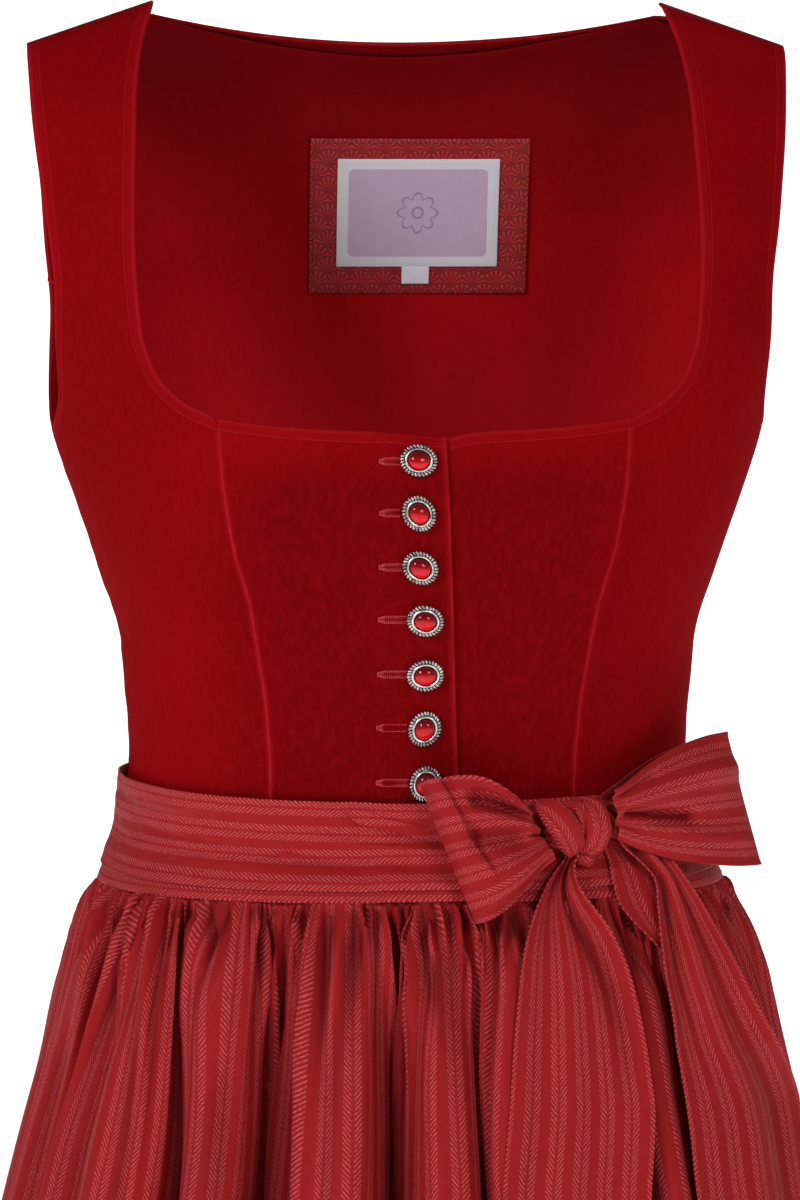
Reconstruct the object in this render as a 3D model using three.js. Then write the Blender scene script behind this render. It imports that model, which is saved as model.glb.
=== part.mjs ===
// A worn dirndl: velvet bodice buttoned down the front, gathered skirt, and a jacquard apron tied
// with a bow. Millimetres, +Z up, the front faces -Y and +X is the wearer's left. The origin lies
// midway between the neck ends of the two shoulder seams, where a wearer's shoulders carry the dress.
//
// Every cloth piece lies on one hollow form. A point of it has a turn, the angle from the centre
// front towards +X, and a drop, the distance below the shoulder line.

import * as THREE from "three";

const DEG = Math.PI / 180;

// Cloth
const VELVET = 1.8; // wall of the bodice
const CLOTH = 1.2; // wall of the skirt, apron, sash and bow
const LINING = 0.9;
const LABEL = 1.0;
const SEAM = 0.15; // half the gap between two pieces that are sewn together
const CLEAR = 0.4; // gap between two layers that lie on each other
const LINING_CLEAR = 1.35;
const PATCH_CLEAR = 0.8;

// Heights, as drops below the shoulder line
const SHOULDER = 0.0016; // the seam's half gap, next to the ridge of the shoulder
const UNDERARM = 190;
const STRAP_FOOT = 181.5; // where the princess seam meets the neckline
const BACK_SEAM_TOP = 120; // where the back seam leaves the armhole
const WAIST = 362;
const APRON_TOP = 388.3;
const APRON_HEM = 1036;
const HEM = 1062;

// Shoulders and sides
const NECK_HALF = 113;
const SHOULDER_HALF = 167.2;
const NECK_DIP = 16.5; // how far the back neckline dips at its centre
const SHOULDER_SLOPE = 19 * DEG;
const SHOULDER_FADE = 170; // drop at which the slope of the shoulder has died out
const SWAY = 4; // how far the skirt hangs towards the wearer's left
const SWAY_RUN = 60; // length below the waist over which it gets there
const SQUARENESS = 0.2; // fullness of the section between its front and its side
const SIDE_SEAM = 92 * DEG;
const SIDE_GAP = SEAM / 84; // the seam's half gap as a turn, at the narrowest section

// Front closure
const PLACKET_LIFT = VELVET + 0.3; // how far the right front is raised where it laps over the left
const UNDERLAP = -15; // edge of the left front, behind the right one
const LIFT_START = -28;
const LIFT_FULL = -16;

// Half width, front depth and back depth of the form
const SECTIONS = [
  { drop: 0, half: 200, front: 0, back: 0 },
  { drop: 4, half: 199.5, front: 13, back: 17 },
  { drop: 16, half: 198, front: 27, back: 40 },
  { drop: 49, half: 193, front: 55, back: 68 },
  { drop: 100, half: 182, front: 82, back: 86 },
  { drop: 150, half: 168, front: 101, back: 96 },
  { drop: 190, half: 157, front: 111, back: 98 },
  { drop: 215, half: 149, front: 115, back: 96 },
  { drop: 250, half: 137, front: 112, back: 91 },
  { drop: 285, half: 127, front: 104, back: 87 },
  { drop: 330, half: 124.5, front: 96, back: 84 },
  { drop: 362, half: 126.5, front: 92, back: 84 },
  { drop: 388, half: 137, front: 103, back: 96 },
  { drop: 415, half: 149.5, front: 117, back: 110 },
  { drop: 480, half: 168.5, front: 140, back: 134 },
  { drop: 545, half: 186, front: 160, back: 153 },
  { drop: 700, half: 224, front: 200, back: 193 },
  { drop: 860, half: 262, front: 236, back: 230 },
  { drop: 1062, half: 305, front: 272, back: 268 },
];

const smooth = (t) => {
  const c = Math.min(Math.max(t, 0), 1);
  return c * c * (3 - 2 * c);
};
const mix = (a, b, t) => a + (b - a) * t;
const steps = (count) => Array.from({ length: count + 1 }, (_, i) => i / count);

// A smooth curve through two columns of a table, which never swings past its rows.
function curve(table, input, output) {
  const xs = table.map((row) => row[input]);
  const ys = table.map((row) => row[output]);
  const last = xs.length - 1;
  const run = xs.slice(1).map((x, i) => x - xs[i]);
  const slope = run.map((dx, i) => (ys[i + 1] - ys[i]) / dx);
  const tangent = ys.map((_, i) => {
    if (i === 0) return slope[0];
    if (i === last) return slope[last - 1];
    const before = slope[i - 1];
    const after = slope[i];
    if (before * after <= 0) return 0;
    const a = 2 * run[i] + run[i - 1];
    const b = run[i] + 2 * run[i - 1];
    return (a + b) / (a / before + b / after);
  });
  return (x) => {
    let i = 0;
    while (i < last - 1 && x > xs[i + 1]) i += 1;
    const t = Math.min(Math.max((x - xs[i]) / run[i], 0), 1);
    const rise = t * t * (3 - 2 * t);
    const entry = t * (1 - t) * (1 - t) * run[i] * tangent[i];
    const exit = t * t * (t - 1) * run[i] * tangent[i + 1];
    return mix(ys[i], ys[i + 1], rise) + entry + exit;
  };
}

// The drop at which a function that rises or falls between low and high is zero.
function meet(difference, low, high) {
  const sign = Math.sign(difference(high));
  let a = low;
  let b = high;
  for (let i = 0; i < 40; i += 1) {
    const middle = (a + b) / 2;
    if (Math.sign(difference(middle)) === sign) b = middle;
    else a = middle;
  }
  return (a + b) / 2;
}

// The form. Its sections are read by the root of the drop, because the shoulders round off at the top.
const rooted = SECTIONS.map((row) => ({ ...row, root: Math.sqrt(row.drop) }));
const halfByRoot = curve(rooted, "root", "half");
const frontByRoot = curve(rooted, "root", "front");
const backByRoot = curve(rooted, "root", "back");
const halfAt = (drop) => halfByRoot(Math.sqrt(drop));
const swayAt = (drop) => SWAY * smooth((drop - WAIST) / SWAY_RUN);

function formByRoot(turn, root) {
  const depth = Math.cos(turn) > 0 ? frontByRoot(root) : backByRoot(root);
  const drop = root * root;
  const x = halfByRoot(root) * Math.sin(turn) + swayAt(drop);
  const y = -depth * Math.cos(turn) * (1 + SQUARENESS * Math.sin(turn) ** 2);
  const fall = Math.max(0, Math.abs(x) - NECK_HALF) * Math.tan(SHOULDER_SLOPE);
  return new THREE.Vector3(x, y, -drop - fall * (1 - smooth(drop / SHOULDER_FADE)));
}

// The direction out of a surface that has the turn or fold as its first value and runs down with its second.
function outOf(surface, across, down, step) {
  const right = surface(across + step, down).sub(surface(across - step, down));
  const below = surface(across, down + step).sub(surface(across, Math.max(0, down - step)));
  return below.cross(right).normalize();
}

// A vertex on the form, moved out by lift.
function onForm(turn, drop, lift = 0) {
  const root = Math.sqrt(drop);
  const normal = outOf(formByRoot, turn, root, 0.01);
  const point = formByRoot(turn, root).addScaledVector(normal, lift);
  return { point, normal };
}

const turnAt = (x, drop) => Math.asin(x / halfAt(drop));
const backTurnAt = (x, drop) => Math.PI - turnAt(x, drop);

// A sheet of faces between rows of vertices. The rows run down and their vertices run towards +turn.
// A row may have half or twice as many stretches as the row above it.
function sheet(rows) {
  const faces = [];
  let start = 0;
  for (let r = 0; r + 1 < rows.length; r += 1) {
    const above = rows[r].length;
    const below = rows[r + 1].length;
    const stretches = Math.min(above, below) - 1;
    const perTop = (above - 1) / stretches;
    const perLow = (below - 1) / stretches;
    for (let c = 0; c < stretches; c += 1) {
      const top = start + perTop * c;
      const low = start + above + perLow * c;
      if (perTop === 2) {
        faces.push([top, low, top + 1], [top + 1, low, low + 1], [top + 1, low + 1, top + 2]);
      } else if (perLow === 2) {
        faces.push([top, low, low + 1], [top, low + 1, top + 1], [top + 1, low + 1, low + 2]);
      } else {
        faces.push([top, low, low + 1], [top, low + 1, top + 1]);
      }
    }
    start += above;
  }
  const vertices = rows.flat();
  return { points: vertices.map((v) => v.point), normals: vertices.map((v) => v.normal), faces };
}

// A sheet whose vertices are bare points gets its normals from its faces.
function sheetOfPoints(rows) {
  const zero = () => new THREE.Vector3();
  const made = sheet(rows.map((row) => row.map((point) => ({ point, normal: zero() }))));
  for (const face of made.faces) {
    const [a, b, c] = face.map((i) => made.points[i]);
    const normal = b.clone().sub(a).cross(c.clone().sub(a));
    for (const i of face) made.normals[i].add(normal);
  }
  for (const normal of made.normals) normal.normalize();
  return made;
}

function geometryOf(points, faces) {
  const geometry = new THREE.BufferGeometry();
  geometry.setAttribute("position", new THREE.Float32BufferAttribute(points.flatMap((p) => p.toArray()), 3));
  geometry.setIndex(faces.flat());
  geometry.computeVertexNormals();
  return geometry;
}

// A closed wall of cloth between two distances out from a sheet.
function wall(made, inner, outer) {
  const { points, normals, faces } = made;
  const count = points.length;
  const moved = (distance) => points.map((p, i) => p.clone().addScaledVector(normals[i], distance));
  const all = faces.map((face) => [...face]);
  for (const [a, b, c] of faces) all.push([a + count, c + count, b + count]);
  const edges = new Set();
  for (const [a, b, c] of faces) {
    for (const edge of [[a, b], [b, c], [c, a]]) edges.add(edge.join());
  }
  for (const edge of edges) {
    const [a, b] = edge.split(",").map(Number);
    if (!edges.has(`${b},${a}`)) all.push([b, a, a + count], [b, a + count, b + count]);
  }
  return geometryOf([...moved(outer), ...moved(inner)], all);
}

// The same geometry on the other side of the body.
function mirrored(geometry) {
  const other = geometry.clone();
  other.scale(-1, 1, 1);
  const index = Array.from(other.getIndex().array);
  for (let i = 0; i < index.length; i += 3) [index[i + 1], index[i + 2]] = [index[i + 2], index[i + 1]];
  other.setIndex(index);
  other.computeVertexNormals();
  return other;
}

const fabric = (color, roughness) => new THREE.MeshStandardMaterial({ color, roughness, metalness: 0 });
const materials = {
  velvet: fabric(0x8e0a10, 0.95),
  lining: fabric(0x7a0f16, 0.7),
  skirt: fabric(0x8f1014, 0.8),
  jacquard: fabric(0xa82428, 0.6),
  patch: fabric(0xa50a10, 0.6),
  label: fabric(0xd9c3d0, 0.8),
  silver: new THREE.MeshStandardMaterial({ color: 0xc4c2be, roughness: 0.3, metalness: 1 }),
  stone: new THREE.MeshStandardMaterial({ color: 0xa3060c, roughness: 0.15, metalness: 0 }),
};

const dirndl = new THREE.Group();

function add(name, geometry, material) {
  const mesh = new THREE.Mesh(geometry, material);
  mesh.name = name;
  dirndl.add(mesh);
  return mesh;
}

// Bodice

// Half width of the strap's inner edge, down to the rounded corner of the neckline
const strapEdge = curve([
  { drop: 0, x: 113 },
  { drop: 20, x: 119 },
  { drop: 50, x: 122 },
  { drop: 100, x: 123 },
  { drop: 145, x: 120.5 },
  { drop: 157, x: 117 },
  { drop: 165, x: 113 },
  { drop: 171, x: 107.5 },
  { drop: 176, x: 101 },
  { drop: 179.5, x: 93.5 },
  { drop: STRAP_FOOT, x: 88.65 },
], "drop", "x");

// Half width between the two princess seams
const princess = curve([
  { drop: STRAP_FOOT, x: 88.5 },
  { drop: 210, x: 86 },
  { drop: 240, x: 81 },
  { drop: 260, x: 75 },
  { drop: 282, x: 71 },
  { drop: 305, x: 67.5 },
  { drop: 325, x: 66 },
  { drop: 362, x: 65 },
], "drop", "x");

// Lower edge of the front neckline, with its small dip at the closure
const frontNeck = curve([
  { x: -88.5, drop: 181.5 },
  { x: -80, drop: 182.8 },
  { x: -60, drop: 185 },
  { x: -40, drop: 186.3 },
  { x: -20, drop: 187.2 },
  { x: 7, drop: 189.7 },
  { x: 20, drop: 187.4 },
  { x: 40, drop: 186.3 },
  { x: 60, drop: 185 },
  { x: 80, drop: 182.8 },
  { x: 88.5, drop: 181.5 },
], "x", "drop");

// Turn of the armhole's edge from the centre front, and from the centre back
const frontArmhole = curve([
  { drop: 0, degrees: 56.7 },
  { drop: 50, degrees: 57.9 },
  { drop: 100, degrees: 60.5 },
  { drop: 150, degrees: 67.8 },
  { drop: 170, degrees: 72.5 },
  { drop: 180, degrees: 77 },
  { drop: 186, degrees: 83 },
  { drop: UNDERARM, degrees: 92 },
], "drop", "degrees");
const backArmhole = curve([
  { drop: 0, degrees: 56.7 },
  { drop: 60, degrees: 58.3 },
  { drop: BACK_SEAM_TOP, degrees: 63.5 },
  { drop: 155, degrees: 71 },
  { drop: 178, degrees: 80 },
  { drop: UNDERARM, degrees: 88 },
], "drop", "degrees");

// Half width between the two back seams, below the armholes' edges
const backSeam = curve([
  { drop: BACK_SEAM_TOP, x: 159.2 },
  { drop: 135, x: 134 },
  { drop: 160, x: 110 },
  { drop: 200, x: 85 },
  { drop: 250, x: 64 },
  { drop: 300, x: 52 },
  { drop: WAIST, x: 47 },
], "drop", "x");

const backNeck = (x) => Math.max(SHOULDER, NECK_DIP * Math.max(0, 1 - (x / NECK_HALF) ** 2) ** 1.25);
const placketEdge = curve([{ drop: 180, x: 6.55 }, { drop: WAIST, x: 14.76 }], "drop", "x");
const placketLift = (x) => PLACKET_LIFT * smooth((x - LIFT_START) / (LIFT_FULL - LIFT_START));

// A panel whose columns run down from their own tops to a common bottom. across gives the turn of each
// column at a drop, fractions the rows, and raise a lift at a turn and drop.
function panel({ across, tops, bottom, fractions, raise = () => 0 }) {
  const rows = fractions.map((fraction) => tops.map((top, column) => {
    const drop = mix(top, bottom, fraction);
    const turn = across(drop)[column];
    return onForm(turn, drop, raise(turn, drop));
  }));
  return sheet(rows);
}

const BODICE_FOOT = WAIST - SEAM;

// Drops of the rows. The rows of two panels meet along the seam between them.
const STRAP_DROPS = [SHOULDER, 4, 20, 50, 90, 125, 145, 157, 165, 171, 176];
const BELOW_STRAP_DROPS = [STRAP_FOOT, 186, UNDERARM, 203, 222, 250, 285, 318, 342, BODICE_FOOT];
const BACK_NECK_DROPS = [SHOULDER, 4, 14, 30, 55, 85];
const BELOW_BACK_DROPS = [BACK_SEAM_TOP, 127, 138, 162, 203, 250, 295, 338, BODICE_FOOT];

const fractionsOf = (drops) => drops.map((drop) => (drop - drops[0]) / (drops.at(-1) - drops[0]));

function frontRight() {
  const inner = [-30, -24.5, -19, -15.5, -4]; // columns are closest where the front is raised
  const across = (drop) => {
    const seam = -(princess(drop) - SEAM);
    const xs = [seam, mix(seam, inner[0], 1 / 3), mix(seam, inner[0], 2 / 3), ...inner, placketEdge(drop)];
    return xs.map((x) => turnAt(x, drop));
  };
  const tops = across(UNDERARM).map((turn) => frontNeck(halfAt(UNDERARM) * Math.sin(turn)));
  const raise = (turn, drop) => placketLift(halfAt(drop) * Math.sin(turn));
  return panel({ across, tops, bottom: BODICE_FOOT, fractions: fractionsOf(BELOW_STRAP_DROPS), raise });
}

function frontLeft() {
  const columns = steps(7);
  const across = (drop) => columns.map((u) => turnAt(mix(UNDERLAP, princess(drop) - SEAM, u), drop));
  const tops = across(UNDERARM).map((turn) => frontNeck(halfAt(UNDERARM) * Math.sin(turn)));
  return panel({ across, tops, bottom: BODICE_FOOT, fractions: fractionsOf(BELOW_STRAP_DROPS) });
}

function sideFrontLeft() {
  const columns = steps(6);
  const across = (drop) => {
    const x = drop < STRAP_FOOT ? strapEdge(drop) : princess(drop) + SEAM;
    const outer = frontArmhole(drop) * DEG - (drop < UNDERARM ? 0 : SIDE_GAP);
    return columns.map((u) => mix(turnAt(x, drop), outer, u));
  };
  const fractions = fractionsOf([...STRAP_DROPS, ...BELOW_STRAP_DROPS]);
  return panel({ across, tops: columns.map(() => SHOULDER), bottom: BODICE_FOOT, fractions });
}

function sideBackLeft() {
  const columns = steps(6);
  const side = SIDE_SEAM + SIDE_GAP;
  const across = (drop) => {
    const seam = backTurnAt(backSeam(drop) + 2 * SEAM, drop); // a wider gap, because this seam slants
    return columns.map((u) => mix(side, seam, u));
  };
  const tops = columns.map((_, column) => {
    const toArmhole = (drop) => Math.PI - backArmhole(drop) * DEG - across(drop)[column];
    return meet(toArmhole, BACK_SEAM_TOP, UNDERARM);
  });
  return panel({ across, tops, bottom: BODICE_FOOT, fractions: fractionsOf(BELOW_BACK_DROPS) });
}

function backCentre() {
  const half = [1, 0.9, 0.79, NECK_HALF / SHOULDER_HALF, 0.56, 0.42, 0.28, 0.14]; // one at the neck's end
  const columns = [...half, 0, ...half.map((u) => -u).reverse()];
  const across = (drop) => {
    const armhole = halfAt(drop) * Math.sin(backArmhole(drop) * DEG);
    const limit = drop < BACK_SEAM_TOP ? armhole : backSeam(drop) - SEAM;
    return columns.map((u) => backTurnAt(u * limit, drop));
  };
  const tops = columns.map((u) => backNeck(u * SHOULDER_HALF));
  const fractions = fractionsOf([...BACK_NECK_DROPS, ...BELOW_BACK_DROPS]);
  return panel({ across, tops, bottom: BODICE_FOOT, fractions });
}

// The lining stops short of the neckline and armholes and lies inside the back panels.
function backLining() {
  const inset = 4;
  const foot = BODICE_FOOT - 1;
  const columns = steps(14).map((t) => 1 - 2 * t);
  const across = (drop) => {
    const limit = backArmhole(drop) * DEG - inset / halfAt(drop);
    return columns.map((u) => Math.PI - u * limit);
  };
  const tops = across(inset).map((turn) => backNeck(halfAt(inset) * Math.sin(turn)) + inset);
  const fractions = fractionsOf([inset, 14, 30, 55, 85, 125, 180, 248, 272, 290, 322, foot]);
  return panel({ across, tops, bottom: foot, fractions });
}

// A patch on the inside of the back, between two widths and two drops.
function insidePatch({ left, right, top, bottom, columns, rows }) {
  const across = (drop) => steps(columns).map((u) => backTurnAt(mix(right, left, u), drop));
  return panel({ across, tops: steps(columns).map(() => top), bottom, fractions: steps(rows) });
}

// Outer faces of the layers inside the back. The lining hangs a little clear of the velvet.
const LINING_OUT = -VELVET - LINING_CLEAR;
const PATCH_OUT = LINING_OUT - LINING - PATCH_CLEAR;
const LABEL_OUT = PATCH_OUT - LABEL - CLEAR;

add("bodice_front_right", wall(frontRight(), -VELVET, 0), materials.velvet);
add("bodice_front_left", wall(frontLeft(), -VELVET, 0), materials.velvet);
const sideFront = wall(sideFrontLeft(), -VELVET, 0);
add("bodice_side_front_left", sideFront, materials.velvet);
add("bodice_side_front_right", mirrored(sideFront), materials.velvet);
const sideBack = wall(sideBackLeft(), -VELVET, 0);
add("bodice_side_back_left", sideBack, materials.velvet);
add("bodice_side_back_right", mirrored(sideBack), materials.velvet);
add("bodice_back", wall(backCentre(), -VELVET, 0), materials.velvet);
add("bodice_back_lining", wall(backLining(), LINING_OUT - LINING, LINING_OUT), materials.lining);

const patch = insidePatch({ left: -38.6, right: 61.5, top: 57, bottom: 127.7, columns: 6, rows: 3 });
add("label_patch", wall(patch, PATCH_OUT - LABEL, PATCH_OUT), materials.patch);
const label = insidePatch({ left: -26, right: 48, top: 66, bottom: 115, columns: 4, rows: 2 });
add("label", wall(label, LABEL_OUT - LABEL, LABEL_OUT), materials.label);
const sizeTag = insidePatch({ left: 4.5, right: 16.5, top: 115.4, bottom: 123, columns: 1, rows: 1 });
add("size_tag", wall(sizeTag, LABEL_OUT - LABEL, LABEL_OUT), materials.label);

// Skirt folds

// Turn in degrees of each fold's ridge and of the valley after it, at the waist and lower down, where
// the folds have spread, and how deep that valley is. The list runs once round from the wearer's right side.
const FOLD_TOP = 390;
const FOLD_LOW = 505;
const FOLDS = [
  { ridge: -76, valley: -64.5, ridgeLow: -81, valleyLow: -74, deep: 1.1 },
  { ridge: -61, valley: -57.5, ridgeLow: -69, valleyLow: -63.5, deep: 0.7 },
  { ridge: -54, valley: -50, ridgeLow: -52, valleyLow: -41.5, deep: 1.0 },
  { ridge: -39, valley: -28, ridgeLow: -32.5, valleyLow: -24.5, deep: 1.1 },
  { ridge: -17, valley: -6, ridgeLow: -14, valleyLow: -5, deep: 1.15 },
  { ridge: 1, valley: 7.5, ridgeLow: 1.5, valleyLow: 5.5, deep: 0.6 },
  { ridge: 13, valley: 19, ridgeLow: 10, valleyLow: 15.5, deep: 0.7 },
  { ridge: 25, valley: 31, ridgeLow: 22, valleyLow: 29, deep: 0.9 },
  { ridge: 34.5, valley: 38, ridgeLow: 34, valleyLow: 38.5, deep: 0.8 },
  { ridge: 47, valley: 56, ridgeLow: 46, valleyLow: 54, deep: 1.0 },
  { ridge: 65, valley: 74, ridgeLow: 63, valleyLow: 73, deep: 1.0 },
  { ridge: 83, valley: 92, ridgeLow: 82, valleyLow: 92, deep: 0.9 },
  { ridge: 98, valley: 105, ridgeLow: 99, valleyLow: 106, deep: 0.8 },
  { ridge: 114, valley: 122, ridgeLow: 114, valleyLow: 123, deep: 1.0 },
  { ridge: 131, valley: 138, ridgeLow: 131, valleyLow: 139, deep: 0.8 },
  { ridge: 147, valley: 157, ridgeLow: 147, valleyLow: 156, deep: 1.1 },
  { ridge: 166, valley: 173, ridgeLow: 165, valleyLow: 174, deep: 0.7 },
  { ridge: 181, valley: 190, ridgeLow: 182, valleyLow: 190, deep: 1.0 },
  { ridge: 199, valley: 207, ridgeLow: 199, valleyLow: 207, deep: 0.9 },
  { ridge: 216, valley: 225, ridgeLow: 215, valleyLow: 224, deep: 1.1 },
  { ridge: 234, valley: 241, ridgeLow: 233, valleyLow: 242, deep: 0.8 },
  { ridge: 249, valley: 256, ridgeLow: 250, valleyLow: 256, deep: 0.9 },
  { ridge: 264, valley: 272, ridgeLow: 263, valleyLow: 272, deep: 1.0 },
];
const COLUMNS = 6; // of each fold

// Depth of the folds
const foldDepth = curve([
  { drop: 362, depth: 0.8 },
  { drop: 388, depth: 2.5 },
  { drop: 400, depth: 6 },
  { drop: 432, depth: 12 },
  { drop: 480, depth: 17 },
  { drop: 560, depth: 22 },
  { drop: 700, depth: 27 },
  { drop: 1062, depth: 36 },
], "drop", "depth");

// Rows of the gathered cloth. The fine ones have small gathers between their columns.
const UPPER_DROPS = [WAIST + SEAM, 374];
const FINE_ROWS = [
  { drop: APRON_TOP, gather: 0.2 },
  { drop: 400, gather: 2.2 },
  { drop: 420, gather: 1.56 },
];
const LOWER_DROPS = [450, 520, 680, APRON_HEM];
const VALLEY_POWER = 1.2; // above 1, valleys are narrower than ridges

function foldTurn(place, drop) {
  const count = FOLDS.length;
  const index = Math.floor(place);
  const part = place - index;
  const fold = FOLDS[((index % count) + count) % count];
  const next = FOLDS[(((index + 1) % count) + count) % count];
  const round = 360 * Math.floor(index / count);
  const nextRound = 360 * Math.floor((index + 1) / count);
  const low = smooth((drop - FOLD_TOP) / (FOLD_LOW - FOLD_TOP));
  const ridge = mix(fold.ridge, fold.ridgeLow, low) + round;
  const valley = mix(fold.valley, fold.valleyLow, low) + round;
  const nextRidge = mix(next.ridge, next.ridgeLow, low) + nextRound;
  const degrees = part < 0.5 ? mix(ridge, valley, 2 * part) : mix(valley, nextRidge, 2 * part - 1);
  return degrees * DEG;
}

function foldInset(place, drop) {
  const count = FOLDS.length;
  const index = Math.floor(place);
  const part = place - index;
  const fromRidge = part < 0.5 ? 2 * part : 2 - 2 * part;
  const fold = FOLDS[((index % count) + count) % count];
  return foldDepth(drop) * fold.deep * ((1 - Math.cos(Math.PI * fromRidge)) / 2) ** VALLEY_POWER;
}

const foldPoint = (place, drop) => onForm(foldTurn(place, drop), drop, -foldInset(place, drop)).point;

function onFolds(place, drop, lift = 0) {
  const normal = outOf(foldPoint, place, drop, 0.02);
  return { point: foldPoint(place, drop).addScaledVector(normal, lift), normal };
}

// Gathered cloth between two places in the round of folds. Its fine rows have a small gather between
// every two columns. A place that is a seam is moved by half the seam's gap.
function gathered({ from, to, upperDrops, fineRows, lowerDrops, seams = true }) {
  const turnPerPlace = (drop) => 2 * (foldTurn(from + 0.5, drop) - foldTurn(from, drop));
  const shift = (drop) => (seams ? SEAM / turnPerPlace(drop) / halfAt(drop) : 0);
  const places = steps((to - from) * COLUMNS).map((t) => mix(from, to, t));
  const rowAt = (drop) => places.map((place, i) => {
    const ends = (i === 0 ? 1 : 0) - (i === places.length - 1 ? 1 : 0);
    return onFolds(place + ends * shift(drop), drop);
  });
  const gatheredRows = fineRows.map(({ drop, gather }) => rowAt(drop).flatMap((vertex, i, row) => {
    if (i === 0) return [vertex];
    const point = row[i - 1].point.clone().lerp(vertex.point, 0.5);
    const normal = row[i - 1].normal.clone().add(vertex.normal).normalize();
    return [{ point: point.addScaledVector(normal, gather), normal }, vertex];
  }));
  return sheet([...upperDrops.map(rowAt), ...gatheredRows, ...lowerDrops.map(rowAt)]);
}

// Gores of the skirt by their places in the round of folds. The gathers of the front lie under the apron.
const GORES = [
  { name: "skirt_front_right", from: -0.5, to: 4.5, fine: false },
  { name: "skirt_front_left", from: 4.5, to: 11.5, fine: false },
  { name: "skirt_back_left", from: 11.5, to: 16.5, fine: true },
  { name: "skirt_back_right", from: 16.5, to: 22.5, fine: true },
];
for (const { name, from, to, fine } of GORES) {
  const upperDrops = fine ? UPPER_DROPS : [...UPPER_DROPS, ...FINE_ROWS.map((row) => row.drop)];
  const fineRows = fine ? FINE_ROWS : [];
  const gore = gathered({ from, to, upperDrops, fineRows, lowerDrops: [...LOWER_DROPS, HEM] });
  add(name, wall(gore, -CLOTH, 0), materials.skirt);
}

// Apron
const APRON_LIFT = 0.6;
const apronCloth = gathered({
  from: -1.5,
  to: 12.5,
  upperDrops: [],
  fineRows: FINE_ROWS,
  lowerDrops: LOWER_DROPS,
  seams: false,
});
add("apron", wall(apronCloth, APRON_LIFT, APRON_LIFT + CLOTH), materials.jacquard);

// Waistband and sash

// Turns in degrees at which a band across the front has its columns, closest where it climbs the placket
const BAND_TURNS = [-103, -92, -81, -70, -59, -48, -38, -29, -21, -14.5, -11, -7, 0, 7, 9, 11.5, 16, 23];
const BAND_LIFT = 1.2;
const BAND_WALL = 1.4;
const SASH_LIFT = BAND_LIFT + BAND_WALL + CLEAR;
const SASH_BACK_LIFT = 1.0;
const SASH_OVER_LIFT = SASH_BACK_LIFT + CLOTH + CLEAR;
const KNOT_TURN = 31.2;

// The lift that carries a band over the lapped edge of the right front, and lets it down past that edge
const LET_DOWN = { from: 15.5, run: 8 };
const overPlacket = (x) => placketLift(x) * (1 - smooth((x - LET_DOWN.from) / LET_DOWN.run));

function band(degrees, dropsAt, lift) {
  const rows = dropsAt(0).map((_, row) => degrees.map((angle) => {
    const turn = angle * DEG;
    const drop = dropsAt(angle)[row];
    const x = Math.cos(turn) > 0 ? halfAt(drop) * Math.sin(turn) : NECK_HALF;
    return onForm(turn, drop, lift(angle) + overPlacket(x));
  }));
  return sheet(rows);
}

const bandTurns = [...BAND_TURNS, 31, 40, 50, 61, 72, 83, 94, 104];
const apronBand = band(bandTurns, () => [347, WAIST, 374, APRON_TOP - 2 * SEAM], () => BAND_LIFT);
add("apron_band", wall(apronBand, 0, BAND_WALL), materials.jacquard);

// The sash sits a little lower at the centre front than at the sides.
const SASH = { sideTop: 340, frontTop: 345.2, sideFoot: 381.5, frontFoot: 384.6 };
const sashDrops = (angle) => {
  const centre = Math.max(0, Math.cos(angle * DEG));
  return [mix(SASH.sideTop, SASH.frontTop, centre), WAIST, 374, mix(SASH.sideFoot, SASH.frontFoot, centre)];
};

// Turns in degrees from the centre front at which the ties leave the waistband, and the left one rises
// over the right one
const OFF_BAND = { at: 104.5, run: 8 };
const OVER_END = { at: 148, run: 10 };

// The left tie comes round the wearer's right side, over the right tie's end at the centre back.
const BEHIND_LEFT = [-194, -184, -174, -164, -157, -150, -141, -130, -119, -111];
const leftTurns = [...BEHIND_LEFT, ...BAND_TURNS, KNOT_TURN - 0.1];
const leftLift = (angle) => {
  const behind = smooth((-angle - OFF_BAND.at) / OFF_BAND.run);
  const crossing = smooth((-angle - OVER_END.at) / OVER_END.run);
  return mix(mix(SASH_LIFT, SASH_BACK_LIFT, behind), SASH_OVER_LIFT, crossing);
};
add("sash_left", wall(band(leftTurns, sashDrops, leftLift), 0, CLOTH), materials.jacquard);

const ROUND_RIGHT = [40, 50, 61, 72, 83, 94, 104, 112, 122, 133, 144, 155, 166, 176, 186, 196];
const rightTurns = [KNOT_TURN + 0.1, ...ROUND_RIGHT];
const rightLift = (angle) => mix(SASH_LIFT, SASH_BACK_LIFT, smooth((angle - OFF_BAND.at) / OFF_BAND.run));
add("sash_right", wall(band(rightTurns, sashDrops, rightLift), 0, CLOTH), materials.jacquard);

// Bow

const KNOT = { width: 31, height: 24, depth: 15, drop: 358, facing: 24, clear: 0.5 };
const KNOT_FLATNESS = 0.75; // below 1, the knot is boxier than an egg
const KNOT_GROOVE = { x: 0.15, slant: 0.45, half: 0.25, depth: 0.16 };

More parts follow.
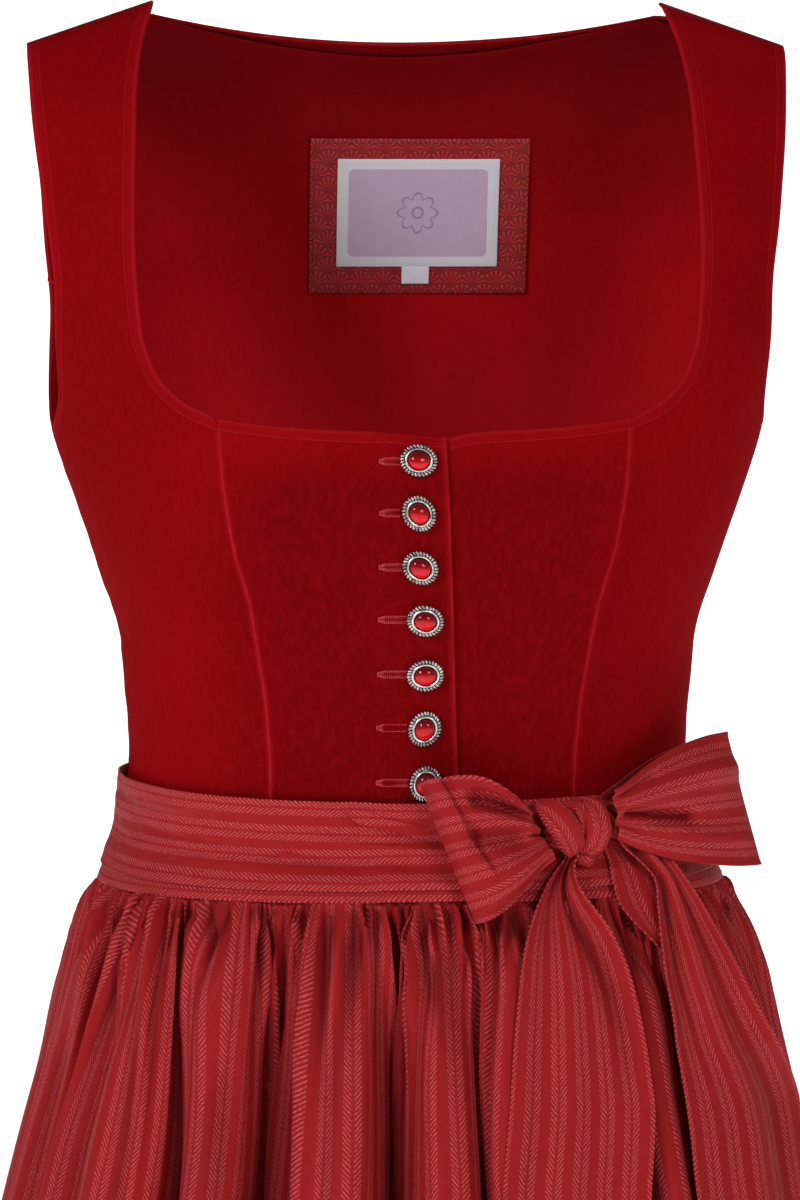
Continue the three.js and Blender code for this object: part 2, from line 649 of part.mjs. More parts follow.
function knotGeometry() {
  const geometry = new THREE.SphereGeometry(1, 14, 8);
  const place = geometry.getAttribute("position");
  const flat = (value) => Math.sign(value) * Math.abs(value) ** KNOT_FLATNESS;
  for (let i = 0; i < place.count; i += 1) {
    const x = flat(place.getX(i));
    const y = flat(place.getY(i));
    const z = flat(place.getZ(i));
    const fromGroove = (x - KNOT_GROOVE.x + KNOT_GROOVE.slant * y) / KNOT_GROOVE.half;
    const rise = 1 - KNOT_GROOVE.depth * Math.exp(-(fromGroove ** 2)) * Math.max(0, z);
    place.setXYZ(i, (x * KNOT.width) / 2, (y * KNOT.height) / 2, (z * rise * KNOT.depth) / 2);
  }
  const lift = SASH_LIFT + CLOTH + KNOT.clear + KNOT.depth / 2;
  const centre = onForm(KNOT_TURN * DEG, KNOT.drop, lift).point;
  const out = new THREE.Vector3(Math.sin(KNOT.facing * DEG), -Math.cos(KNOT.facing * DEG), 0);
  const up = new THREE.Vector3(0, 0, 1);
  const right = up.clone().cross(out);
  geometry.applyMatrix4(new THREE.Matrix4().makeBasis(right, up, out).setPosition(centre));
  return geometry;
}

add("bow_knot", knotGeometry(), materials.jacquard);

const LOOP = { columns: 14, rows: 6, halfAtKnot: 11, pleat: 1.1, pleatTurns: 1.25, spread: 0.8 };

// A loop of ribbon: out from the knot against the dress, round a fold, and back in front. knot and fold
// are the ends of its middle line, edge runs down along the fold, and belly is half its fullness.
function bowLoop({ knot, fold, edge, half, belly, bulge }) {
  const out = new THREE.Vector3().crossVectors(edge, fold.clone().sub(knot)).normalize();
  if (out.y > 0) out.negate();
  const down = new THREE.Vector3(0, 0, -1);
  const rows = steps(LOOP.rows).map((v) => steps(LOOP.columns).map((u) => {
    const along = 2 * u - 1;
    const reach = 1 - along * along;
    const width = down.clone().lerp(edge, reach).normalize();
    const across = 2 * v - 1;
    const side = Math.sign(along);
    const gap = belly * Math.sin(0.8 * Math.PI * Math.abs(along)) * side;
    const pleat = LOOP.pleat * (1 - reach) * Math.cos(2 * Math.PI * LOOP.pleatTurns * across) * side;
    const point = knot.clone().lerp(fold, reach);
    point.addScaledVector(out, gap + pleat + bulge * Math.sin(Math.PI * reach));
    return point.addScaledVector(width, across * mix(LOOP.halfAtKnot, half, smooth(reach ** LOOP.spread)));
  }));
  return sheetOfPoints(rows);
}

const leftLoop = bowLoop({
  knot: new THREE.Vector3(49, -101.5, -357),
  fold: new THREE.Vector3(8.4, -112.5, -365.8),
  edge: new THREE.Vector3(23.6, -10, -60.5).normalize(),
  half: 32,
  belly: 7,
  bulge: 3,
});
add("bow_loop_left", wall(leftLoop, -CLOTH / 2, CLOTH / 2), materials.jacquard);

const rightLoop = bowLoop({
  knot: new THREE.Vector3(84.5, -89, -353),
  fold: new THREE.Vector3(142.6, -52, -349.5),
  edge: new THREE.Vector3(14.4, 0, -55.7).normalize(),
  half: 30,
  belly: 7,
  bulge: 1,
});
add("bow_loop_right", wall(rightLoop, -CLOTH / 2, CLOTH / 2), materials.jacquard);

// Edges of the two tails as turns in degrees. stand is how far the outer edge stands off the apron.
const LEFT_TAIL = [
  { drop: 375.5, left: 25.5, right: 29, lift: 8, stand: 0 },
  { drop: 386, left: 20.5, right: 29.5, lift: 7.8, stand: 0 },
  { drop: 403, left: 16.5, right: 32.5, lift: 7.5, stand: 0 },
  { drop: 422, left: 14, right: 34.5, lift: 7.2, stand: 0 },
  { drop: 442, left: 12, right: 34.5, lift: 6.6, stand: 0 },
  { drop: 465, left: 10.8, right: 33, lift: 6, stand: 0 },
  { drop: 508, left: 8.5, right: 30, lift: 5.2, stand: 0 },
  { drop: 600, left: 8.5, right: 27, lift: 5, stand: 0 },
  { drop: 720, left: 9, right: 25.3, lift: 5, stand: 0 },
  { drop: 840, left: 9.5, right: 24, lift: 5, stand: 0 },
];
const RIGHT_TAIL = [
  { drop: 374, left: 43, right: 50, lift: 7, stand: 0 },
  { drop: 387, left: 45, right: 57, lift: 7.8, stand: 0 },
  { drop: 411, left: 43, right: 62, lift: 7.5, stand: 2 },
  { drop: 437, left: 40.5, right: 65, lift: 7, stand: 5 },
  { drop: 460, left: 39.5, right: 65, lift: 6.4, stand: 9 },
  { drop: 481, left: 39, right: 64, lift: 6, stand: 10 },
  { drop: 515, left: 38, right: 61.5, lift: 5.2, stand: 6 },
  { drop: 600, left: 38.5, right: 57, lift: 5, stand: 2 },
  { drop: 700, left: 39.5, right: 56, lift: 5, stand: 0 },
  { drop: 810, left: 41, right: 55.3, lift: 5, stand: 0 },
];

// Shallow folds that run down a tail
const TAIL_FOLD = { height: 1.4, turns: 1.5, start: 0.4, columns: 6 };

function bowTail(rows) {
  return sheet(rows.map(({ drop, left, right, lift, stand }) => steps(TAIL_FOLD.columns).map((u) => {
    const wave = TAIL_FOLD.height * Math.sin(2 * Math.PI * TAIL_FOLD.turns * u + TAIL_FOLD.start);
    return onForm(mix(left, right, u) * DEG, drop, lift + wave + stand * u * u);
  })));
}

add("bow_tail_left", wall(bowTail(LEFT_TAIL), -CLOTH / 2, CLOTH / 2), materials.jacquard);
add("bow_tail_right", wall(bowTail(RIGHT_TAIL), -CLOTH / 2, CLOTH / 2), materials.jacquard);

// Buttons down the closure, with the angle of each one's long side from level
const BUTTON = { long: 16.1, short: 14, sides: 10, clear: 0.35 };
const BUTTONS = [
  { x: -4.2, drop: 199.0, angle: 0 },
  { x: -4.0, drop: 221.1, angle: -62 },
  { x: -3.1, drop: 244.2, angle: 20 },
  { x: -1.1, drop: 266.7, angle: 0 },
  { x: -0.7, drop: 290.3, angle: 0 },
  { x: -0.6, drop: 313.1, angle: 74 },
  { x: 0.2, drop: 336.6, angle: 80 },
];
// Radius and height of the turned profiles
const bezelProfile = [[0, 0], [6.6, 0.4], [8.05, 1.8], [7.0, 3.1], [5.3, 2.4], [0, 2.4]];
const stoneProfile = [[0, 2.7], [4.7, 2.7], [3.6, 4.1], [0, 4.8]];

function turned(profile, sides, place) {
  const geometry = new THREE.LatheGeometry(profile.map(([r, h]) => new THREE.Vector2(r, h)), sides);
  return geometry.applyMatrix4(place);
}

BUTTONS.forEach(({ x, drop, angle }, i) => {
  const { point, normal } = onForm(turnAt(x, drop), drop, PLACKET_LIFT + BUTTON.clear);
  const level = new THREE.Vector3(0, 0, 1).cross(normal).normalize();
  const long = level.applyAxisAngle(normal, angle * DEG);
  const short = normal.clone().cross(long);
  const oval = new THREE.Matrix4().makeScale(1, 1, BUTTON.short / BUTTON.long);
  const place = new THREE.Matrix4().makeBasis(long, normal, short.negate()).setPosition(point).multiply(oval);
  add(`button_${i + 1}`, turned(bezelProfile, BUTTON.sides, place), materials.silver);
  add(`button_stone_${i + 1}`, turned(stoneProfile, BUTTON.sides, place), materials.stone);
});

export default dirndl;
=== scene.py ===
"""A worn red dirndl: velvet bodice, gathered skirt, and a jacquard apron tied with a bow.

The cloth lies on one hollow form. A point of it has a turn, the angle from the centre front towards
the wearer's left, and a drop, the distance below the shoulder line. Lengths are in millimetres until
a mesh is made. Grids of points have their rows running down and their columns towards +turn.
"""

import math

import bpy
import numpy as np
from mathutils import Matrix, Vector


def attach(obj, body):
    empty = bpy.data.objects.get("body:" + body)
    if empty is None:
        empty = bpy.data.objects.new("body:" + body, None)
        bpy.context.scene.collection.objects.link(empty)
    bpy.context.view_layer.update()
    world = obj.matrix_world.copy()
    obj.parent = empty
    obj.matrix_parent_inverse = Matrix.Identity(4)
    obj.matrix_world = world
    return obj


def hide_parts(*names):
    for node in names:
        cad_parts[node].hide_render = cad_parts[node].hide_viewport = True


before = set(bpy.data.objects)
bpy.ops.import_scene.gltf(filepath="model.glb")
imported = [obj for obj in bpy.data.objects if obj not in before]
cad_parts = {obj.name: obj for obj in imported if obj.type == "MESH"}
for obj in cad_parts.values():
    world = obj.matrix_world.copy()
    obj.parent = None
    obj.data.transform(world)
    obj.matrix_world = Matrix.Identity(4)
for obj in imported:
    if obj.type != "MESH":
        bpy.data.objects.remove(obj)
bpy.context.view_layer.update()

MM = 0.001
DEG = math.pi / 180
CIRCLE = 2 * math.pi

# Cloth
VELVET = 1.8
CLOTH = 0.8
LINING = 0.9
SEAM = 0.04  # half the gap between two sewn panels
LINING_OUT = -3.15
PATCH_OUT = -4.85
LABEL_OUT = -6.25
PATCH_WALL = 1.0
LABEL_WALL = 0.8

# Drops below the shoulder line
SHOULDER = 0.0016
UNDERARM = 190
STRAP_FOOT = 181.5
BACK_SEAM_TOP = 120
WAIST = 362
BODICE_FOOT = WAIST - SEAM
APRON_TOP = 388.3
APRON_HEM = 1036
HEM = 1062

# Form
NECK_HALF = 113
SHOULDER_HALF = 167.2
NECK_DIP = 16.5
SHOULDER_SLOPE = 19 * DEG
SHOULDER_FADE = 170
SWAY = 4
SWAY_RUN = 60
SQUARENESS = 0.2
SIDE_SEAM = 92 * DEG
SIDE_GAP = SEAM / 84  # half the gap at the side seam, as a turn
PLACKET_LIFT = 2.1
UNDERLAP = -15
LIFT_START = -28
LIFT_FULL = -16

# drop, half width, front depth, back depth
SECTIONS = [
    (0, 200, 0, 0),
    (4, 199.5, 13, 17),
    (16, 198, 27, 40),
    (49, 193, 55, 68),
    (100, 182, 82, 86),
    (150, 168, 101, 96),
    (190, 157, 111, 98),
    (215, 149, 115, 96),
    (250, 137, 112, 91),
    (285, 127, 104, 87),
    (330, 124.5, 96, 84),
    (362, 126.5, 92, 84),
    (388, 137, 103, 96),
    (415, 149.5, 117, 110),
    (480, 168.5, 140, 134),
    (545, 186, 160, 153),
    (700, 224, 200, 193),
    (860, 262, 236, 230),
    (1062, 305, 272, 268),
]


def smooth(t):
    c = np.clip(t, 0, 1)
    return c * c * (3 - 2 * c)


def mix(a, b, t):
    return a + (b - a) * t


def bell(x, width):
    return np.exp(-((x / width) ** 2))


def curve(rows):
    """A smooth curve through rows of (input, output), which never swings past them."""
    xs, ys = np.array(rows, float).T
    run = np.diff(xs)
    slope = np.diff(ys) / run
    tangent = np.zeros(len(xs))
    tangent[0] = slope[0]
    tangent[-1] = slope[-1]
    for i in range(1, len(xs) - 1):
        before, after = slope[i - 1], slope[i]
        if before * after > 0:
            a = 2 * run[i] + run[i - 1]
            b = run[i] + 2 * run[i - 1]
            tangent[i] = (a + b) / (a / before + b / after)

    def at(x):
        x = np.asarray(x, float)
        i = np.clip(np.searchsorted(xs, x) - 1, 0, len(run) - 1)
        t = np.clip((x - xs[i]) / run[i], 0, 1)
        entry = t * (1 - t) ** 2 * run[i] * tangent[i]
        leave = t * t * (t - 1) * run[i] * tangent[i + 1]
        return mix(ys[i], ys[i + 1], smooth(t)) + entry + leave

    return at


# Sections are read by the root of the drop, because the shoulders round off at the top.
half_by_root, front_by_root, back_by_root = (
    curve([(math.sqrt(row[0]), row[column]) for row in SECTIONS]) for column in (1, 2, 3)
)


def half_at(drop):
    return half_by_root(np.sqrt(drop))


def form(turn, root):
    depth = np.where(np.cos(turn) > 0, front_by_root(root), back_by_root(root))
    drop = root * root
    x = half_by_root(root) * np.sin(turn) + SWAY * smooth((drop - WAIST) / SWAY_RUN)
    y = -depth * np.cos(turn) * (1 + SQUARENESS * np.sin(turn) ** 2)
    fall = np.maximum(0, np.abs(x) - NECK_HALF) * math.tan(SHOULDER_SLOPE)
    return np.stack([x, y, -drop - fall * (1 - smooth(drop / SHOULDER_FADE))], axis=-1)


def unit(v):
    return v / np.maximum(np.linalg.norm(v, axis=-1, keepdims=True), 1e-12)


def out_of(surface, across, down, step):
    right = surface(across + step, down) - surface(across - step, down)
    below = surface(across, down + step) - surface(across, np.maximum(0, down - step))
    return unit(np.cross(below, right))


def on_form(turn, drop, lift=0.0):
    """Points on the form, moved out by lift, and the directions out of it."""
    turn, drop, lift = np.broadcast_arrays(*(np.asarray(value, float) for value in (turn, drop, lift)))
    root = np.sqrt(drop)
    normal = out_of(form, turn, root, 0.01)
    return form(turn, root) + normal * lift[..., None], normal


def points_on(turn, drop, lift=0.0):
    return on_form(turn, drop, lift)[0]


def turn_at(x, drop):
    return np.arcsin(np.clip(x / half_at(drop), -1, 1))


def back_turn_at(x, drop):
    return math.pi - turn_at(x, drop)


def round_circle(count):
    """The angles of points round a circle."""
    return CIRCLE * np.arange(count) / count


def run_along(line):
    """The distance of each point of a line from its start, measured along it."""
    return np.concatenate([[0], np.cumsum(np.linalg.norm(np.diff(line, axis=0), axis=1))])


def grid_normals(points):
    """The directions out of a grid of points."""
    down = np.gradient(points, axis=0)
    right = np.gradient(points, axis=1)
    return unit(np.cross(down, right))


def moved_out(points, height):
    return points + grid_normals(points) * height[..., None]


RIPPLES = 7


def ripple(a, b, seed):
    """A smooth uneven field between about -1 and 1, with waves about one unit long."""
    random = np.random.default_rng(seed)
    total = np.zeros(np.broadcast(a, b).shape)
    for _ in range(RIPPLES):
        angle = random.uniform(0, CIRCLE)
        rate = random.uniform(0.5, 1.5) * CIRCLE
        phase = random.uniform(0, CIRCLE)
        total = total + np.sin(rate * (a * math.cos(angle) + b * math.sin(angle)) + phase)
    return total / math.sqrt(RIPPLES * 2)


# Meshes

RIM = 4  # stretches round the half circle of a rim
# place along a thread or bead, and its size there
STATIONS = [(0.0, 0.25), (0.12, 0.75), (0.3, 1.0), (0.7, 1.0), (0.88, 0.75), (1.0, 0.25)]


def linked(name, data):
    made = bpy.data.objects.new(name, data)
    bpy.context.scene.collection.objects.link(made)
    return made


def make_piece(name, vertices, faces, materials, node=None, uv=None, values=None, looks=None):
    """A mesh from vertices in millimetres. faces is a list of arrays of equal-sided faces, node is the
    solid that it replaces, and looks says which material each face has."""
    mesh = bpy.data.meshes.new(name)
    mesh.vertices.add(len(vertices))
    mesh.vertices.foreach_set("co", (vertices * MM).ravel())
    corners = np.concatenate([part.ravel() for part in faces])
    sides = np.concatenate([np.full(len(part), part.shape[1]) for part in faces])
    mesh.loops.add(len(corners))
    mesh.loops.foreach_set("vertex_index", corners)
    mesh.polygons.add(len(sides))
    mesh.polygons.foreach_set("loop_start", np.concatenate([[0], np.cumsum(sides)[:-1]]))
    mesh.polygons.foreach_set("use_smooth", np.ones(len(sides), bool))
    for material in materials:
        mesh.materials.append(material)
    if looks is not None:
        mesh.polygons.foreach_set("material_index", looks)
    mesh.update(calc_edges=True)
    if uv is not None:
        mesh.uv_layers.new(name="cloth").data.foreach_set("uv", uv[corners].ravel())
    for key, value in (values or {}).items():
        mesh.attributes.new(key, "FLOAT", "POINT").data.foreach_set("value", value)
    mesh.validate()
    piece = linked(name, mesh)
    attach(piece, "root")
    if node is not None:
        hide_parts(node)


def cut_of(points):
    """The flat size and area, in metres, of the cloth that a grid of points is."""
    width = np.linalg.norm(np.diff(points, axis=1), axis=-1).sum(axis=1).max()
    length = np.linalg.norm(np.diff(points, axis=0), axis=-1).sum(axis=0).max()
    down = points[1:, :-1] - points[:-1, :-1]
    right = points[:-1, 1:] - points[:-1, :-1]
    area = np.linalg.norm(np.cross(down, right), axis=-1).sum()
    return {"flat": (width * MM, length * MM), "area": min(area, width * length) * MM * MM}


def square_to(edge, inner):
    """The directions away from the inner row of points, square to the edge."""
    along = unit(np.gradient(edge, axis=0))
    away = edge - inner
    return unit(away - along * np.sum(away * along, axis=-1, keepdims=True))


def shell(name, points, wall, materials, node, sheet, uv=None, values=None, roll=(1, 1, 1, 1)):
    """A closed wall of cloth under a grid of points. roll is how round the top, right, foot and left rims
    are. A second material covers the inner face."""
    normals = grid_normals(points)
    rows, cols = points.shape[:2]
    outward = np.zeros_like(points)
    outward[0] += roll[0] * square_to(points[0], points[1])
    outward[:, -1] += roll[1] * square_to(points[:, -1], points[:, -2])
    outward[-1] += roll[2] * square_to(points[-1], points[-2])
    outward[:, 0] += roll[3] * square_to(points[:, 0], points[:, 1])
    outward -= normals * np.sum(outward * normals, axis=-1, keepdims=True)
    ids = np.arange(rows * cols).reshape(rows, cols)
    loop = np.concatenate([ids[0, :-1], ids[:-1, -1], ids[-1, :0:-1], ids[:0:-1, 0]])
    outer = points.reshape(-1, 3)
    inner = (points - normals * wall).reshape(-1, 3)
    middle = (outer[loop] + inner[loop]) / 2
    over = normals.reshape(-1, 3)[loop] * wall / 2
    beyond = outward.reshape(-1, 3)[loop] * wall / 2
    count = rows * cols
    rims = []
    rings = [loop]
    for k in range(1, RIM):
        angle = math.pi * k / RIM
        rims.append(middle + over * math.cos(angle) + beyond * math.sin(angle))
        rings.append(2 * count + (k - 1) * len(loop) + np.arange(len(loop)))
    rings.append(loop + count)
    face = np.stack([ids[:-1, :-1], ids[1:, :-1], ids[1:, 1:], ids[:-1, 1:]], axis=-1).reshape(-1, 4)
    rim_faces = []
    for ring, following in zip(rings, rings[1:]):
        rim_faces.append(np.stack([ring, np.roll(ring, -1), np.roll(following, -1), following], axis=-1))
    quads = np.concatenate([face, (face + count)[:, ::-1], *rim_faces])
    looks = np.zeros(len(quads), np.int32)
    if len(materials) > 1:
        looks[len(face) : 2 * len(face)] = 1
    spread = np.concatenate([np.arange(count), np.arange(count), *[loop] * (RIM - 1)])
    flat_uv = None if uv is None else uv.reshape(-1, 2)[spread]
    flat_values = {key: value.reshape(-1)[spread] for key, value in (values or {}).items()}
    vertices = np.concatenate([outer, inner, *rims])
    sheet = {**cut_of(points), **sheet}
    make_piece(name, vertices, [quads], materials, node, flat_uv, flat_values, looks)


def tube_faces(rings, sides, first=0):
    """Faces of closed rings of vertices, each joined to the next, seen from outside."""
    ids = first + np.arange(rings * sides).reshape(rings, sides)
    after = np.roll(ids, -1, axis=1)
    return np.stack([ids[:-1], after[:-1], after[1:], ids[1:]], axis=-1).reshape(-1, 4)


def joined(name, parts, materials, node=None):
    """One piece from several (vertices, faces, look) parts."""
    faces = {3: [], 4: []}
    looks = {3: [], 4: []}
    start = 0
    for points, polygons, look in parts:
        for part in polygons:
            faces[part.shape[1]].append(part + start)
            looks[part.shape[1]].append(np.full(len(part), look))
        start += len(points)
    used = [size for size in (3, 4) if faces[size]]
    all_faces = [np.concatenate(faces[size]) for size in used]
    all_looks = np.concatenate([np.concatenate(looks[size]) for size in used]).astype(np.int32)
    vertices = np.concatenate([part[0] for part in parts])
    make_piece(name, vertices, all_faces, materials, node, looks=all_looks)


def capsule(start, end, width, height, out, sides=6):
    """A thread or bead between two points: its vertices and faces. height is measured along out."""
    along = end - start
    side = unit(np.cross(out, along))
    up = np.cross(unit(along), side)
    angles = round_circle(sides)
    ring = np.outer(np.cos(angles), side * width / 2) + np.outer(np.sin(angles), up * height / 2)
    rings = [start + along * place + ring * size for place, size in STATIONS]
    caps = []
    for fan in (np.arange(sides)[::-1], np.arange(sides) + (len(STATIONS) - 1) * sides):
        caps.append(np.stack([np.full(sides - 2, fan[0]), fan[1:-1], fan[2:]], axis=-1))
    return np.concatenate(rings), [tube_faces(len(STATIONS), sides), *caps]


# Materials

HEM_DEPTH = 26
MIX_FACTOR, MIX_A, MIX_B, MIX_OUT = 0, 6, 7, 2  # sockets of a node that mixes colours


def adds(operation, swapped=False):
    """A method that adds one node of arithmetic."""

    def method(self, other=0.0):
        inputs = {0: other, 1: self} if swapped else {0: self, 1: other}
        return self.shader.node("ShaderNodeMath", inputs, operation=operation)

    return method


class Value:
    """A value in a shader, which can be reckoned with like a number."""

    def __init__(self, shader, socket):
        self.shader = shader
        self.socket = socket

    __add__ = adds("ADD")
    __radd__ = adds("ADD", swapped=True)
    __sub__ = adds("SUBTRACT")
    __rsub__ = adds("SUBTRACT", swapped=True)
    __mul__ = adds("MULTIPLY")
    __truediv__ = adds("DIVIDE")
    __abs__ = adds("ABSOLUTE")
    fraction = adds("FRACT")
    root = adds("SQRT")
    sine = adds("SINE")
    cosine = adds("COSINE")
    angle_from = adds("ARCTAN2")
    at_least = adds("MAXIMUM")

    def ramp(self, low, high):
        """0 below low and 1 above high, or the other way round where low is above high."""
        limits = (low, high, 0.0, 1.0) if low < high else (high, low, 1.0, 0.0)
        inputs = dict(zip(("From Min", "From Max", "To Min", "To Max"), limits))
        inputs["Value"] = self
        return self.shader.node("ShaderNodeMapRange", inputs, interpolation_type="SMOOTHSTEP")


def length_of(a, b):
    return (a * a + b * b).root()


def wave(value, count=1):
    """A wave that comes count times in each unit of a value."""
    return (value * (CIRCLE * count)).sine()


def colour(value):
    """A hex sRGB colour as linear RGBA. A shader value passes through."""
    if isinstance(value, Value):
        return value
    parts = [int(value[i : i + 2], 16) / 255 for i in (0, 2, 4)]
    linear = [c / 12.92 if c <= 0.04045 else ((c + 0.055) / 1.055) ** 2.4 for c in parts]
    return (*linear, 1.0)


class Shader:
    """A principled material with short calls for its nodes."""

    def __init__(self, name, **sockets):
        self.material = bpy.data.materials.new(name)
        self.material.use_nodes = True
        self.tree = self.material.node_tree
        self.surface = next(node for node in self.tree.nodes if node.type == "BSDF_PRINCIPLED")
        self.set(**sockets)

    def put(self, node, inputs):
        for key, value in inputs.items():
            if isinstance(value, Value):
                self.tree.links.new(value.socket, node.inputs[key])
            else:
                node.inputs[key].default_value = value

    def set(self, **sockets):
        """Sets the surface's own sockets and gives back the material."""
        self.put(self.surface, {key.replace("_", " "): value for key, value in sockets.items()})
        return self.material

    def node(self, kind, inputs=None, output=0, **settings):
        made = self.tree.nodes.new(kind)
        for key, value in settings.items():
            setattr(made, key, value)
        self.put(made, inputs or {})
        return Value(self, made.outputs[output])

    def place(self, kind="Object"):
        return self.node("ShaderNodeTexCoord", output=kind)

    def parts(self, vector):
        first = self.node("ShaderNodeSeparateXYZ", {0: vector})
        return [Value(self, socket) for socket in first.socket.node.outputs]

    def uv(self):
        """The place on the cloth, in units of 10 mm, and its two parts."""
        place = self.node("ShaderNodeUVMap", uv_map="cloth")
        return place, *self.parts(place)[:2]

    def noise(self, vector, scale, detail=3.0, roughness=0.55, stretch=None):
        if stretch is not None:
            vector = self.node("ShaderNodeMapping", {"Vector": vector, "Scale": stretch})
        inputs = {"Vector": vector, "Scale": scale, "Detail": detail, "Roughness": roughness}
        return self.node("ShaderNodeTexNoise", inputs)

    def attribute(self, name):
        return self.node("ShaderNodeAttribute", output="Fac", attribute_name=name)

    def blend(self, factor, a, b):
        inputs = {MIX_FACTOR: factor, MIX_A: colour(a), MIX_B: colour(b)}
        return self.node("ShaderNodeMix", inputs, MIX_OUT, data_type="RGBA")

    def layered(self, base, *layers):
        """A colour with layers over it, each with its mask, strength and colour."""
        for mask, strength, tint in layers:
            base = self.blend(mask * strength, base, tint)
        return base

    def bump(self, height, strength, distance, **under):
        inputs = {"Height": height, "Strength": strength, "Distance": distance, **under}
        return self.node("ShaderNodeBump", inputs)

    def hem_line(self):
        """1 along the stitch line of a deep hem."""
        return abs(self.attribute("hem_mm") - HEM_DEPTH).ramp(1.1, 0.3)


def velvet_material():
    tint = colour("c0151a")
    s = Shader("velvet", Roughness=0.9, Specular_IOR_Level=0.02, Sheen_Weight=0.04, Sheen_Tint=tint)
    s.set(Sheen_Roughness=0.35)
    place = s.place()
    x, y, z = s.parts(place)
    nap = s.noise(place, 420.0, 2.0, stretch=(1.0, 1.0, 0.45))
    pile = s.noise(place, 1500.0, 2.0)
    # Distances in millimetres to the nearest edge and seam
    edge = s.attribute("edge_mm")
    seam = s.attribute("seam_mm")
    strip = edge.ramp(4.4, 3.2)
    stitch_line = edge.ramp(3.8, 4.2) * edge.ramp(4.8, 4.4)
    # Painted shade darkens the middle of the front, where the velvet faces straight ahead and shows least
    # sheen.
    front = abs(x).ramp(0.11, 0.055) * y.ramp(-0.02, -0.06) * z.ramp(-0.19, -0.215)
    base = s.layered(
        s.blend(s.noise(place, 11.0, 4.0, 0.6).ramp(0.35, 0.7), "7e0408", "88050a"),
        (front, 0.7, "5e0205"),
        (s.noise(place, 7.0, 5.0, 0.65).ramp(0.54, 0.72), 0.2, "9a0c16"),
        (nap.ramp(0.35, 0.75), 0.25, "960c11"),
        # Painted highlight on the puffed strip between each edge and its stitch line
        (strip, 0.2, "a0101a"),
        # Painted highlight along the rolled edge itself
        (edge.ramp(1.4, 0.4), 0.3, "b01a24"),
        (stitch_line, 0.3, "b4222b"),
        # Painted highlight along the seams and the folded placket edge, where the pile catches the light
        (seam.ramp(2.4, 0.4), 0.3, "a8141c"),
        (seam.ramp(0.8, 0.2), 0.45, "b81c26"),
    )
    shaped = s.bump(strip * 0.35 - stitch_line * 0.3 + seam.ramp(1.6, 0.2) * 0.3, 0.7, 0.001)
    return s.set(Base_Color=base, Normal=s.bump(pile + nap * 0.6, 0.25, 0.0006, Normal=shaped))


def lining_material():
    tint = colour("c01018")
    s = Shader("lining", Roughness=0.8, Specular_IOR_Level=0.05, Sheen_Weight=0.04, Sheen_Tint=tint)
    place = s.place()
    fuzz = s.noise(place, 520.0, 3.0, stretch=(1.0, 1.0, 0.5))
    height = s.parts(place)[2]
    base = s.layered(
        s.blend(s.noise(place, 18.0, 4.0, 0.6).ramp(0.35, 0.7), "96040b", "a2070e"),
        (fuzz.ramp(0.3, 0.8), 0.4, "ae0d14"),
        # Painted shade and light: darker towards the top and lighter lower down
        (height.ramp(-0.15, -0.01), 0.75, "4c0004"),
        (height.ramp(-0.11, -0.2), 0.45, "ba141c"),
    )
    return s.set(Base_Color=base, Normal=s.bump(fuzz, 0.3, 0.0005))


def skirt_material():
    tint = colour("c03038")
    s = Shader("skirt_cotton", Roughness=0.8, Specular_IOR_Level=0.2, Sheen_Weight=0.1, Sheen_Tint=tint)
    place, across, along = s.uv()
    slub = s.noise(place, 2.0, 3.0, stretch=(9.0, 0.8, 1.0))
    base = s.layered(
        s.blend(s.noise(s.place(), 14.0, 4.0).ramp(0.3, 0.75), "7c0a10", "8a1118"),
        (slub.ramp(0.4, 0.8), 0.25, "9a1a20"),
        (s.hem_line(), 0.5, "4c060a"),
        # Painted shade in the valleys of the folds and between the gathers
        (s.attribute("valley"), 0.7, "3c0408"),
    )
    return s.set(Base_Color=base, Normal=s.bump(wave(across, 20) * wave(along, 20), 0.15, 0.0003))


STRIPE_SPACING = 1.13  # in units of 10 mm
STROKES = 4.8  # strokes in 10 mm along a stripe
STROKE_SLANT = 1.5


def jacquard_material():
    """Satin with stripes of herringbone: dull bands with short light strokes on both sides of a spine."""
    s = Shader("apron_jacquard", Specular_IOR_Level=0.3, Specular_Tint=colour("e05a60"))
    s.set(Sheen_Weight=0.1, Sheen_Roughness=0.4, Sheen_Tint=colour("d05058"))
    place, across, along = s.uv()
    wobble = (s.noise(place, 1.4, 2.0) - 0.5) * 0.05
    off_centre = abs((across / STRIPE_SPACING + wobble).fraction() - 0.5)
    uneven = s.noise(place, 0.9, 1.0, stretch=(3.0, 1.0, 1.0))
    strokes = wave((along + off_centre * STROKE_SLANT) * STROKES + uneven * 0.8)
    band = (off_centre + strokes * -0.02).ramp(0.33, 0.25)
    inside = strokes.ramp(0.0, 0.6) * off_centre.ramp(0.02, 0.08) * off_centre.ramp(0.32, 0.28)
    strength = inside * (0.3 + s.noise(place, 9.0, 3.0).ramp(0.34, 0.6) * 0.7)
    satin = s.noise(place, 1.5, 3.0, stretch=(30.0, 1.5, 1.0))
    base = s.layered(
        s.blend(satin.ramp(0.3, 0.75), "921b1d", "9c2123"),
        (band, 0.15, "8a282e"),
        (strength, 0.78, "d25a5c"),
        (s.hem_line(), 0.45, "5c0c10"),
        # Painted shade in fold valleys, between gathers and in dented creases and loops
        (s.attribute("valley"), 0.7, "380507"),
    )
    relief = strength * 0.8 + wave(along, 24) * 0.08 + satin * 0.15
    return s.set(Base_Color=base, Roughness=0.44 + band * 0.14, Normal=s.bump(relief, 0.4, 0.0005))


